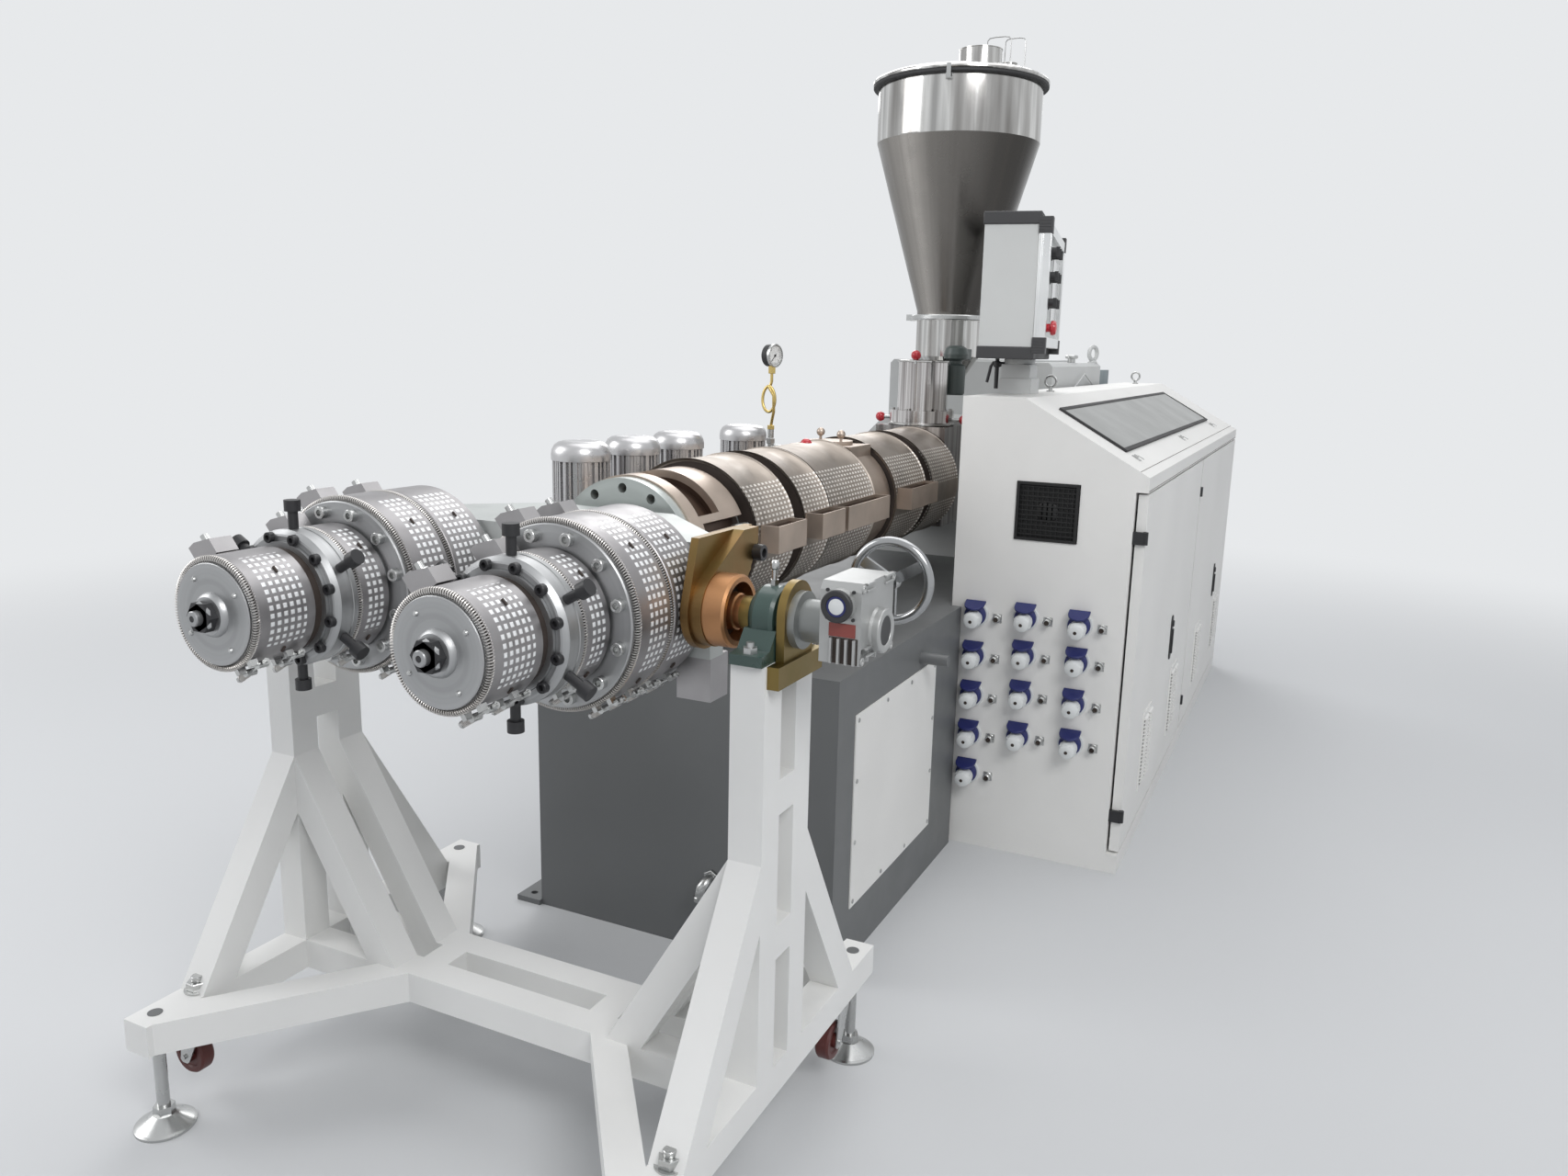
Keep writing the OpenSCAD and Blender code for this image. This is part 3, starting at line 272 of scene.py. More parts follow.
HEAD_X = 0.22
M = {
    "white": paint("white_powder_coat", (0.8, 0.8, 0.785), 0.42, 0.07, 0.18),
    "cabinet": paint("cabinet_white", (0.78, 0.775, 0.755), 0.5, 0.1, 0.14),
    "pale": paint("pale_grey_paint", (0.55, 0.56, 0.555), 0.45, 0.06, 0.2),
    "dark": paint("dark_grey_paint", (0.135, 0.14, 0.142), 0.42, 0.1, 0.25),
    "black": paint("black_oxide", (0.018, 0.018, 0.02), 0.42, 0.1, 0.1),
    "black_plastic": paint("black_plastic", (0.025, 0.025, 0.027), 0.5, 0.12, 0.05),
    "green": paint("bearing_green", (0.031, 0.064, 0.055), 0.3, 0.08, 0.25, 0.3),
    "manifold": metal("manifold_plating", (0.49, 0.51, 0.5), 0.46, 0.05, var=0.05, metallic=0.75),
    "heads": turned("turned_steel_heads", (0.385, 0.39, 0.395), 0.38, 0.9, HEAD_X),
    "barrel": turned("turned_steel_barrel", (0.52, 0.555, 0.54), 0.36, 0.7),
    "band": metal("band_stainless", (0.37, 0.36, 0.365), 0.42, 0.06),
    "spring": metal("spring_wire", (0.58, 0.56, 0.54), 0.36, 0.05),
    "brown": metal("heat_tinted_steel", (0.47, 0.39, 0.33), 0.38, 0.1, var=0.14, metallic=0.85),
    # Dark copy of the heat-tinted steel: painted shade in the hollows of the outlet trays
    "brown_shade": metal("painted_recess_shade", (0.16, 0.115, 0.09), 0.5, 0.1, var=0.2, metallic=0.6),
    # Near-black: painted shade in slots, holes, recesses and narrow gaps, and dark seams
    "gap": metal("gap_shade_and_dark_seams", (0.055, 0.042, 0.036), 0.6, 0.15, var=0.3, metallic=0.5),
    "zinc": metal("zinc_plate", (0.5, 0.505, 0.5), 0.26, 0.05, var=0.12),
    "cast": metal("cast_silver_paint", (0.42, 0.425, 0.42), 0.36, 0.16, var=0.06, metallic=0.6),
    "gearbox_cast": metal("cast_silver_and_turned_neck", (0.42, 0.425, 0.42), 0.36, 0.16, var=0.06,
        metallic=0.6, inside=("x", 0.612, (0.26, 0.27, 0.265))),
    # Clamp sleeve: below radius 0.142, inside its windows, the colour turns dark as painted shade
    "sleeve": metal("clamp_sleeve_steel", (0.47, 0.39, 0.33), 0.38, 0.1, var=0.14, metallic=0.85,
        inside=("radius", 0.142, (0.085, 0.055, 0.042))),
    "motor_silver": metal("motor_silver", (0.52, 0.515, 0.52), 0.28, 0.06, (1, 1, 0.2), 0.06, 0.85),
    "motor_green": paint("feeder_motor_green", (0.075, 0.095, 0.09), 0.36, 0.08, 0.2),
    "motor_grey": paint("drive_motor_grey", (0.16, 0.21, 0.23), 0.4, 0.08, 0.2),
    "chrome": metal("handwheel_chrome", (0.36, 0.365, 0.37), 0.18, 0.03, var=0.1),
    "wire": metal("dull_wire", (0.34, 0.34, 0.34), 0.34, 0.05),
    "brass": metal("brass_fitting", (0.62, 0.47, 0.18), 0.3, 0.06, var=0.1),
    "aluminium": metal("aluminium_profile", (0.74, 0.75, 0.75), 0.32, 0.05, (1, 1, 0.05), 0.04),
    "frame": paint("box_frame_grey", (0.042, 0.042, 0.044), 0.5, 0.12, 0.1),
    "box_face": paint("operator_box_sheet", (0.6, 0.61, 0.6), 0.5, 0.06, 0.08),
    "red": paint("red_knob", (0.5, 0.012, 0.025), 0.24, 0.03, 0.05, 0.4),
    "blue": paint("socket_blue", (0.016, 0.022, 0.125), 0.42, 0.06, 0.1),
    "plug": paint("plug_white", (0.72, 0.74, 0.74), 0.45, 0.06, 0.1),
    "tread": paint("caster_tread", (0.085, 0.018, 0.015), 0.42, 0.1, 0.25),
    "deep_black": paint("fan_filter_black", (0.0045, 0.0045, 0.0048), 0.55, 0.05, 0.0),
    "gasket": paint("rubber_gasket", (0.03, 0.03, 0.031), 0.7, 0.1, 0.1),
    "glass": paint("smoked_window", (0.21, 0.215, 0.205), 0.34, 0.02, 0.1, 0.3),
    "screen": paint("dark_screen", (0.02, 0.022, 0.026), 0.12, 0.01, 0.02, 0.6),
    "plate_red": paint("plain_plate_red", (0.25, 0.055, 0.045), 0.4, 0.03, 0.2),
    "dial": paint("gauge_dial", (0.78, 0.78, 0.76), 0.35, 0.02, 0.02, 0.6),
}


def zinc_yellow():
    """Yellow passivated steel: olive arm plate, copper boss and golden drive plate."""
    n = Nodes("yellow_passivated_zinc", (0.42, 0.28, 0.09), 1.0, 0.3)
    cloud = n.noise(7, 5)
    olive = n.ramp(cloud, [(0.3, (0.18, 0.135, 0.05)), (0.5, (0.235, 0.145, 0.058)),
        (0.75, (0.17, 0.1, 0.043))])
    copper = n.ramp(cloud, [(0.3, (0.42, 0.22, 0.1)), (0.7, (0.54, 0.28, 0.14))])
    gold = n.ramp(cloud, [(0.3, (0.19, 0.145, 0.05)), (0.7, (0.26, 0.175, 0.068))])
    out = n.math("ABSOLUTE", n.xyz()[0])
    n.color = n.mix(n.math("GREATER_THAN", out, 0.4125), olive, copper)
    n.color = n.mix(n.math("GREATER_THAN", out, 0.46), n.color, gold)
    n.rough(0.3, 0.46, 12)
    n.bump(n.noise(300, 2), 0.08, 0.0003)
    return n.done()


MIRROR_ROUGH = 0.12


def mirror(name, bright, dark, bands, y0):
    """Polished sheet rolled about a vertical axis, with soft light and dark streaks of painted
    reflection that run up it.
    """
    n = Nodes(name, bright, 1.0, MIRROR_ROUGH)
    x, y, z = n.xyz()
    angle = n.math("ARCTAN2", n.minus(y, y0), x)
    reflection_streak = n.noise(1.0, 4, vector=n.vector(n.times(angle, bands), 0.0, n.times(z, 0.8)))
    n.color = n.ramp(reflection_streak, [(0.3, dark), (0.48, tuple((a + b) / 2 for a, b in zip(dark, bright))),
                              (0.56, bright), (0.72, tuple(c * 0.55 for c in bright))])
    n.bump(n.noise(3.0, 2), 0.25, 0.004)
    n.rough(MIRROR_ROUGH, MIRROR_ROUGH + 0.08, 10)
    return n.done()


def cone():
    """Brushed cone with painted reflection: broad soft light and dark bands round the axis and
    faint darker streaks down it.
    """
    n = Nodes("cone_stainless", (0.3, 0.28, 0.26), 1.0, 0.24)
    x, y, z = n.xyz()
    angle = n.math("ARCTAN2", n.minus(y, HOPPER[1]), x)
    turn = n.math("ADD", n.times(angle, 1 / (2 * pi)), 0.5)
    wave = n.math("ADD", turn, n.times(n.minus(n.noise(1.3, 2), 0.5), 0.05))
    # Painted reflection: how bright the cone is at each turn round its axis
    stops = [(0.00, 0.19), (0.05, 0.11), (0.11, 0.2), (0.19, 0.36), (0.25, 0.21), (0.32, 0.15),
        (0.38, 0.08), (0.47, 0.05), (0.55, 0.12), (0.68, 0.24), (0.84, 0.14), (1.00, 0.19)]
    n.color = n.ramp(wave, [(place, (v, v * 0.945, v * 0.885)) for place, v in stops])
    # Painted reflection: darker streaks down the cone
    reflection_streak = n.noise(1.0, 3, vector=n.vector(n.times(angle, 9.0), 0.0, n.times(z, 0.5)))
    n.color = n.mix(n.ramp(reflection_streak, [(0.45, 0.0), (0.75, 0.22)]), n.color, (0.1, 0.09, 0.08))
    n.rough(0.2, 0.32, 10)
    n.bump(n.noise(3.0, 2), 0.2, 0.003)
    return n.done()


M["zinc_yellow"] = zinc_yellow()
# Hopper and throat sheets: their bright and dark colours are the light and dark streaks of painted
# reflection
M["mirror"] = mirror("mirror_stainless", (0.7, 0.695, 0.68), (0.19, 0.18, 0.17), 3.6, HOPPER[1])
M["cone"] = cone()
M["throat"] = mirror("throat_stainless", (0.7, 0.68, 0.67), (0.17, 0.15, 0.145), 6.0, THROAT[1])


def turns(*degrees):
    """Spans of degrees, from +X towards the top, as the UV x of polar_uv."""
    return [(0.5 + low / 360, 0.5 + high / 360) for low, high in degrees]


# The second window of a head's bands crosses -X, where UV x wraps
WINDOWS = [*turns((-32, 72)), (150 / 360 + 0.5, 1.01), (-0.01, 0.5 - 110 / 360)]
for key, name, tint, radius, pitch, margin in (
        ("band1", "front", (0.345, 0.335, 0.34), 0.089, 0.0125, (-1.412, -1.342)),
        ("band2", "middle", (0.345, 0.335, 0.34), 0.11, 0.0125, (-1.237, -1.199)),
        ("band3", "third", (0.33, 0.32, 0.325), 0.153, 0.0135, (-1.148, -1.094)),
        ("band4", "fourth", (0.33, 0.32, 0.325), 0.153, 0.0135, (-1.066, -0.99))):
    M[key] = perforated(f"perforated_band_{name}", tint, radius, WINDOWS, pitch, 0.56,
        (0.9, 0.91, 0.92), margin)
SIDES = turns((6, 44), (-52, -14), (136, 174), (-166, -128))
M["cover"] = perforated("perforated_cover", (0.37, 0.325, 0.285), 0.171, SIDES, 0.011, 0.5,
    (0.84, 0.8, 0.75), along_pitch=0.0185)


# A slot name for each finish
SLOTS = {material: slot for slot, materials in {
    "band_steel": "spring band1 band2 band3 band4",
    "black_oxide": "gap black black_plastic gasket deep_black frame screen",
    "turned_steel": "heads",
    "zinc_plate": "zinc dark aluminium",
    "white_paint": "plug dial cabinet",
    "socket_blue": "blue red",
    "cast_silver": "plate_red cast motor_silver",
    "cover_steel": "cover",
    "brown_steel": "brown_shade",
    "brass_fittings": "brass",
    "mirror_steel": "mirror cone wire",
    "pale_grey_paint": "box_face pale",
}.items() for material in materials.split()}


# ---- mesh building

def basis(axis, ref=None):
    w = Vector(axis).normalized()
    if ref is None:
        ref = Vector(Z) if abs(w.z) < 0.9 else Vector(X)
    u = (Vector(ref) - w * w.dot(Vector(ref))).normalized()
    return u, w.cross(u), w


def add_object(name, data):
    obj = bpy.data.objects.new(name, data)
    scene.collection.objects.link(obj)
    return obj


class Piece:
    """Collects simple solids and becomes one object that rides on a body."""

    def __init__(self):
        self.verts = []
        self.faces = []

    def put(self, verts, faces):
        base = len(self.verts)
        self.verts += [Vector(v) for v in verts]
        self.faces += [[base + i for i in f] for f in faces]
        return self

    def lathe(self, points, origin, axis, n=32, ref=None, closed=False):
        """points are (radius, place along the axis); a radius of 0 closes an end."""
        u, v, w = basis(axis, ref)
        o = Vector(origin)
        verts, rings = [], []
        for r, a in points:
            if r < 1e-7:
                rings.append([len(verts)])
                verts.append(o + w * a)
            else:
                rings.append(list(range(len(verts), len(verts) + n)))
                verts += [o + w * a + (u * cos(2 * pi * i / n) + v * sin(2 * pi * i / n)) * r
                    for i in range(n)]
        faces = []
        pairs = list(zip(rings, rings[1:])) + ([(rings[-1], rings[0])] if closed else [])
        for a, b in pairs:
            for i in range(n):
                j = (i + 1) % n
                if len(a) == 1 and len(b) == 1:
                    break
                if len(a) == 1:
                    faces.append([a[0], b[j], b[i]])
                elif len(b) == 1:
                    faces.append([a[i], a[j], b[0]])
                else:
                    faces.append([a[i], a[j], b[j], b[i]])
        return self.put(verts, faces)

    def cyl(self, origin, axis, r, h, n=24, c=0.0):
        """Capped cylinder from origin along axis, with a chamfer of c."""
        side = [(r - c, 0), (r, c), (r, h - c), (r - c, h)] if c else [(r, 0), (r, h)]
        return self.lathe([(0, 0), *side, (0, h)], origin, axis, n)

    def box(self, lo, hi, turn=None):
        x0, y0, z0 = lo
        x1, y1, z1 = hi
        verts = [Vector(p) for p in ((x0, y0, z0), (x1, y0, z0), (x1, y1, z0), (x0, y1, z0),
                                     (x0, y0, z1), (x1, y0, z1), (x1, y1, z1), (x0, y1, z1))]
        if turn is not None:
            verts = [turn @ p for p in verts]
        return self.put(verts, [[3, 2, 1, 0], [4, 5, 6, 7], [0, 1, 5, 4], [1, 2, 6, 5],
            [2, 3, 7, 6], [3, 0, 4, 7]])

    def prism(self, outline, origin, u, v, depth):
        """Outline in the plane of u and v, raised by depth along u x v."""
        u, v = Vector(u), Vector(v)
        w = u.cross(v).normalized() * depth
        o = Vector(origin)
        n = len(outline)
        low = [o + u * a + v * b for a, b in outline]
        verts = low + [p + w for p in low]
        faces = [list(range(n))[::-1], list(range(n, 2 * n))]
        faces += [[i, (i + 1) % n, n + (i + 1) % n, n + i] for i in range(n)]
        return self.put(verts, faces)

    def tube(self, path, r, n=8, closed=False):
        pts = [Vector(p) for p in path]
        m = len(pts)
        verts, faces = [], []
        ref = None
        for i, p in enumerate(pts):
            a = pts[i - 1] if i or closed else pts[i]
            b = pts[(i + 1) % m] if i < m - 1 or closed else pts[i]
            t = (b - a).normalized()
            if ref is None:
                ref = basis(t)[0]
            u = (ref - t * t.dot(ref)).normalized()
            ref = u
            v = t.cross(u)
            verts += [p + (u * cos(2 * pi * k / n) + v * sin(2 * pi * k / n)) * r for k in range(n)]
        for i in range(m if closed else m - 1):
            j = (i + 1) % m
            for k in range(n):
                l = (k + 1) % n
                faces.append([i * n + k, i * n + l, j * n + l, j * n + k])
        if not closed:
            faces.append(list(range(n))[::-1])
            faces.append([(m - 1) * n + k for k in range(n)])
        return self.put(verts, faces)

    def ball(self, centre, r, n=20):
        pts = [(r * sin(pi * i / 10), -r * cos(pi * i / 10)) for i in range(11)]
        return self.lathe(pts, centre, Z, n)

    def done(self, name, material, slot=None, body="machine", bevel=0.0, angle=35, stand_for=()):
        slot = slot or SLOTS[material]
        mesh = bpy.data.meshes.new(name)
        mesh.from_pydata([tuple(v) for v in self.verts], [], self.faces)
        mesh.validate()
        obj = add_object(name, mesh)
        mesh.materials.append(M[material])
        bm = bmesh.new()
        bm.from_mesh(mesh)
        bmesh.ops.recalc_face_normals(bm, faces=bm.faces)
        bm.to_mesh(mesh)
        bm.free()
        mesh.shade_smooth()
        mesh.set_sharp_from_angle(angle=radians(angle))
        if bevel:
            mod = obj.modifiers.new("edge", "BEVEL")
            mod.width = bevel
            mod.segments = 2
            mod.limit_method = "ANGLE"
            mod.angle_limit = radians(40)
        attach(obj, body)
        if stand_for:
            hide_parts(*stand_for)
        return obj


def polar_uv(obj, x0):
    """UV x is the angle about the Y axis at x0 in turns, 0.5 at +X, and UV y is Y in metres."""
    mesh = obj.data
    layer = mesh.uv_layers.new(name="polar")
    for poly in mesh.polygons:
        c = poly.center
        middle = atan2(c.z - AXIS_Z, c.x - x0)
        for li in poly.loop_indices:
            p = mesh.vertices[mesh.loops[li].vertex_index].co
            a = atan2(p.z - AXIS_Z, p.x - x0)
            while a - middle > pi:
                a -= 2 * pi
            while a - middle < -pi:
                a += 2 * pi
            layer.data[li].uv = (a / (2 * pi) + 0.5, p.y)


def ring_points(outer, inner, y0, y1, edge=0.0015):
    return [(inner, y0), (outer - edge, y0), (outer, y0 + edge), (outer, y1 - edge),
        (outer - edge, y1), (inner, y1)]


def around(n, start=0.0):
    return [2 * pi * i / n + start for i in range(n)]


def radial(x0, y, a, r):
    return Vector((x0 + r * cos(a), y, AXIS_Z + r * sin(a)))


def socket_head(r, seat, head, hole, floor, edge_r=0.001, edge=0.001):
    """Profile of a socket head from its seat out to head, with a hole down to floor."""
    shoulder = head - copysign(edge, head - seat)
    return [(0, seat), (r, seat), (r, shoulder), (r - edge_r, head), (hole, head),
        (hole - 0.0005, floor), (0, floor)]


def on_band(x0, y, degrees, r):
    """Place on a head's band, with its directions round the band and outwards."""
    a = radians(degrees)
    return radial(x0, y, a, r), Vector((-sin(a), 0, cos(a))), Vector((cos(a), 0, sin(a)))


def spring_ring(piece, x0, y, radius, coil, wire, windings, per=8):
    pts = []
    for i in range(windings * per):
        a = 2 * pi * i / (windings * per)
        b = 2 * pi * i / per
        pts.append(radial(x0, y + coil * sin(b), a, radius + coil * cos(b)))
    piece.tube(pts, wire, 4, closed=True)


FINISHES = {
    "white": "stand_left_frame stand_right_frame stand_cross_beams",
    "zinc": "levelling_feet caster_fork_front_left caster_fork_front_right "
            "caster_fork_rear_left caster_fork_rear_right",
    "chrome": "handwheel",
    "tread": "caster_wheel_front_left caster_wheel_front_right "
             "caster_wheel_rear_left caster_wheel_rear_right",
    "green": "bearing_blocks",
    "zinc_yellow": "drive_bracket trunnion_brackets",
    "gearbox_cast": "worm_gearbox",
    "manifold": "die_manifold",
    "heads": "die_heads die_clamp_rings",
    "band": "heater_bands_front heater_bands_middle heater_bands_rear heater_terminal_boxes",
    "black": "die_screws cabinet_hinges",
    "barrel": "barrel",
    "sleeve": "barrel_sleeve",
    "brown": "air_outlets vent_housing barrel_covers",
    "motor_silver": "cooling_blowers",
    "brass": "gauge_column",
    "throat": "feed_throat",
    "mirror": "screw_feeder hopper hopper_lid",
    "motor_green": "feeder_motor",
    "dark": "base_frame",
    "cabinet": "base_side_panels cabinet_shell cabinet_door_front cabinet_door_rear",
    "pale": "main_gearbox control_column",
    "motor_grey": "main_motor",
    "glass": "cabinet_window",
    "blue": "cabinet_sockets",
    "box_face": "control_box",
}
for material, names in FINISHES.items():
    for name in names.split():
        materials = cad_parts[name].data.materials
        materials.clear()
        materials.append(M[material])


# ---- twin heads
HEADS = (("left", -HEAD_X), ("right", HEAD_X))
BANDS = (("band1", 0.089, 0.43, 0.324), ("band2", 0.11, 0.25, 0.19),
         ("band3", 0.153, 0.172, 0.086), ("band4", 0.153, 0.074, -0.024))
BAND_T = 0.005
for side, hx in HEADS:
    centre = (hx, 0, AXIS_Z)
    for band, outer, front, rear in BANDS:
        y0, y1 = DIE_Y - front, DIE_Y - rear
        sheet = Piece()
        sheet.lathe(ring_points(outer, outer - BAND_T, y0, y1), centre, Y, 96, (0, 0, -1), True)
        obj = sheet.done(f"{side}_{band}", band, body="die")
        polar_uv(obj, hx)
    rings = Piece()
    for y, radius, windings in ((-1.4325, 0.085, 130), (-1.2515, 0.1062, 162),
            (-1.174, 0.1492, 228), (-1.08, 0.1492, 228)):
        spring_ring(rings, hx, y, radius, 0.0046, 0.0014, windings)
    rings.done(f"{side}_edge_springs", "spring", body="die", angle=60)
    shade = Piece()
    for y, radius in ((-1.4305, 0.0868), (-1.2505, 0.108), (-1.173, 0.151), (-1.0795, 0.151)):
        inner = radius - 0.008
        shade.lathe([(inner, y + 0.002), (radius, y + 0.002), (radius, y), (inner, y)], centre, Y,
            64, closed=True)
    shade.lathe([(0.0845, -1.3235), (0.085, -1.3235), (0.085, -1.3045), (0.0845, -1.3045)], centre,
        Y, 64, closed=True)
    shade.done(f"{side}_band_shadow_rings", "gap", body="die")
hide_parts("heater_bands_front")
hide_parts("heater_bands_middle")
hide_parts("heater_bands_rear")

for side, hx in HEADS:
    # Front plate with its screws, collar and the mandrel's nut
    Piece().lathe([(0, 0.001), (0.0785, 0.001), (0.0795, 0), (0.0795, -0.0015), (0.0785, -0.0025),
        (0.035, -0.0025), (0.033, -0.0085), (0.029, -0.0115), (0.0, -0.0115)],
        (hx, -1.4375, AXIS_Z), Y, 72).done(f"{side}_front_plate", "heads", body="die")
    bolts = Piece()
    for a in around(4, 0.6):
        p = radial(hx, -1.44, a, 0.062)
        bolts.lathe([(0, -0.0035), (0.0028, -0.003), (0.0042, -0.001), (0.0045, 0.001), (0, 0.001)],
            p, Y, 12)
    # Silver socket bolts of the flange
    for a in around(12, pi / 12):
        p = radial(hx, -1.186, a, 0.129)
        bolts.lathe(socket_head(0.0105, 0.001, -0.012, 0.0055, -0.005), p, Y, 20)
    bolts.done(f"{side}_flange_bolts", "zinc", body="die")
    black = Piece()
    for a in around(12, pi / 12):
        p = radial(hx, -1.303, a, 0.1015)
        black.lathe(socket_head(0.0088, 0.002, -0.008, 0.0045, -0.003, 0.0008), p, Y, 18)
    black.done(f"{side}_ring_bolts", "black", body="die")
    stub = Piece()
    end = (hx, -1.445, AXIS_Z)
    stub.lathe(socket_head(0.0118, -0.0195, -0.0305, 0.005, -0.024, 0.0013, 0.0015), end, Y, 28)
    stub.lathe([(0.012, -0.02), (0.0215, -0.02), (0.024, -0.018), (0.0255, -0.015)], end, Y, 6)
    stub.done(f"{side}_mandrel_stub", "heads", body="die")
    # Clamp lugs and spring bolts under each band
    lugs, coils = Piece(), Piece()
    for outer, stations in ((0.089, (-1.412, -1.345)), (0.11, (-1.225,)), (0.153, (-1.155, -1.105)),
            (0.153, (-1.055, -0.995))):
        for y in stations:
            c, t, out = on_band(hx, y, -58, outer + 0.009)
            for s in (-1, 1):
                lug = c + t * s * 0.016
                lugs.cyl(lug - Vector((0, 0.009, 0)), Y, 0.0058, 0.018, 14)
                lugs.prism([(-0.004, -0.01), (0.004, -0.01), (0.004, 0.0), (-0.004, 0.0)],
                           lug - Vector((0, 0.007, 0)), -t, out, 0.014)
            lugs.cyl(c - t * 0.043, t, 0.0027, 0.075, 10)
            lugs.cyl(c + t * 0.024, t, 0.0055, 0.005, 6)
            lugs.cyl(c - t * 0.046, t, 0.0055, 0.005, 6)
            u, v = basis(t)[:2]
            coils.tube([c - t * 0.04 + t * (0.018 * i / 70) + (u * cos(b) + v * sin(b)) * 0.0048
                        for i, b in ((i, 2 * pi * i / 10) for i in range(71))], 0.001, 5)
    lugs.done(f"{side}_band_clamps", "zinc", "band_steel", "die")
    coils.done(f"{side}_clamp_springs", "spring", body="die", angle=60)

# Gland and nuts on the terminal boxes, and small louvred slots on the bands, drawn as dark tubes of
# painted shade
for side, hx in HEADS:
    gland, slits = Piece(), Piece()
    for outer, y in ((0.089, -1.377), (0.11, -1.22), (0.153, -1.129), (0.153, -1.025)):
        c, t, out = on_band(hx, y, 128, outer)
        gland.cyl(c + out * 0.024 + t * 0.004, out, 0.0095, 0.012, 6)
        gland.cyl(c + out * 0.036 + t * 0.004, out, 0.0065, 0.012, 16)
        for s in (-1, 1):
            nut = c + out * 0.026 + Vector((0, s * 0.014, 0)) - t * 0.018
            gland.cyl(nut, out, 0.003, 0.003, 10)
        for a in (radians(48), radians(-40)):
            slits.tube([radial(hx, y + 0.004, a + k * 0.0018 / outer, outer + 0.0012)
                        for k in range(-4, 3)], 0.0022, 8)
    gland.done(f"{side}_terminal_glands", "zinc", "band_steel", "die")
    slits.done(f"{side}_band_slits", "gap", "band_steel", "die")

# ---- trunnion drive
bolts, recess = Piece(), Piece()
for s in (-1, 1):
    bolts.lathe(socket_head(0.014, 0, 0.018, 0.008, 0.008), (s * 0.411, -0.877, 1.075), (s, 0, 0),
        24)
    recess.lathe([(0.0325, 0), (0.0455, 0), (0.0455, 0.0006), (0.0325, 0.0006)],
        (s * 0.4242, DIE_Y, AXIS_Z), (s, 0, 0), 40, closed=True)
bolts.done("trunnion_bolts", "black", body="die")
# The thin dark ring is painted shade in the recess round each trunnion
recess.done("trunnion_recess", "gap", body="die")

END_X = 0.51  # end frames of the stand
nipples = Piece()
for s in (-1, 1):
    base = Vector((s * END_X, DIE_Y, 1.049))
    nipples.cyl(base, Z, 0.007, 0.01, 6)
    nipples.cyl(base + Vector((0, 0, 0.01)), Z, 0.0045, 0.016, 14)
    nipples.lathe([(0.0055, 0), (0.007, 0.002), (0.007, 0.011), (0.005, 0.014), (0, 0.014)],
        base + Vector((0, 0, 0.026)), Z, 14)
    for y in (-1.08, -0.92):
        nipples.cyl((s * END_X, y, 0.957), Z, 0.012, 0.01, 6)
        nipples.cyl((s * END_X, y, 0.967), Z, 0.0065, 0.008, 14)
nipples.done("bearing_nipples_and_nuts", "zinc")

# Face of the worm gearbox: dial, cover screws, bare plate, cooling slots with a dark plate of
# painted shade between their fins, and the output ring
GX, GZ = 0.651, 1.047
DIAL = (GX, -1.078, GZ)
GEAR_SIDE = 0.6835  # outer side of its case
gear = Piece()
gear.lathe([(0, -0.0005), (0.0235, -0.0005), (0.0245, -0.0015), (0.0245, -0.005), (0.023, -0.0065),
    (0.0165, -0.0065), (0.0155, -0.0045), (0, -0.0045)], DIAL, Y, 40)
for a in around(4, pi / 4):
    gear.cyl((GX + 0.0295 * cos(a), -1.0655, GZ + 0.0295 * sin(a)), (0, -1, 0), 0.0028, 0.003, 10)
gear.cyl((GEAR_SIDE, DIE_Y, AXIS_Z), X, 0.0225, 0.015, 36)
gear.done("gearbox_cover_rim", "black_plastic")
Piece().lathe([(0, -0.0046), (0.012, -0.0046), (0.012, -0.0055), (0.011, -0.006), (0, -0.006)],
    DIAL, Y, 32).done("gearbox_cap", "plug", "cast_silver")
Piece().lathe([(0.0122, -0.0046), (0.0154, -0.0046), (0.0154, -0.0052), (0.0122, -0.0052)], DIAL, Y,
    32, closed=True).done("gearbox_cap_ring", "blue")
Piece().box((0.6335, -1.0676, 0.9985), (0.676, -1.0658, 1.019)).done("gearbox_bare_plate",
    "plate_red", bevel=0.0005)
fins, dark = Piece(), Piece()
for k in range(4):
    x = 0.636 + 0.0125 * k
    fins.box((x, -1.0725, 0.9575), (x + 0.0042, -1.0655, 0.9965))
dark.box((0.634, -1.0664, 0.9575), (0.68, -1.0656, 0.9975))
for z, y0 in ((0.966, -1.048), (0.978, -1.052), (1.066, -1.05), (1.076, -1.05)):
    for y, length in ((y0, 0.03), (-0.975, 0.035)):
        fins.box((GEAR_SIDE, y, z), (GEAR_SIDE + 0.0045, y + length, z + 0.004))
fins.lathe([(0.0225, 0), (0.0345, 0), (0.0345, 0.015), (0.0325, 0.0165), (0.0245, 0.0165),
    (0.0225, 0.015)], (GEAR_SIDE, DIE_Y, AXIS_Z), X, 40, closed=True)
for z in (0.963, 1.072):
    for y in (-1.06, -0.94):
        fins.lathe([(0, 0), (0.0065, 0), (0.0065, 0.003), (0.0035, 0.003), (0.003, 0.001),
            (0, 0.001)], (0.684, y, z), X, 14)
fins.done("gearbox_fins", "cast", bevel=0.0008)
dark.done("gearbox_slots", "gap")

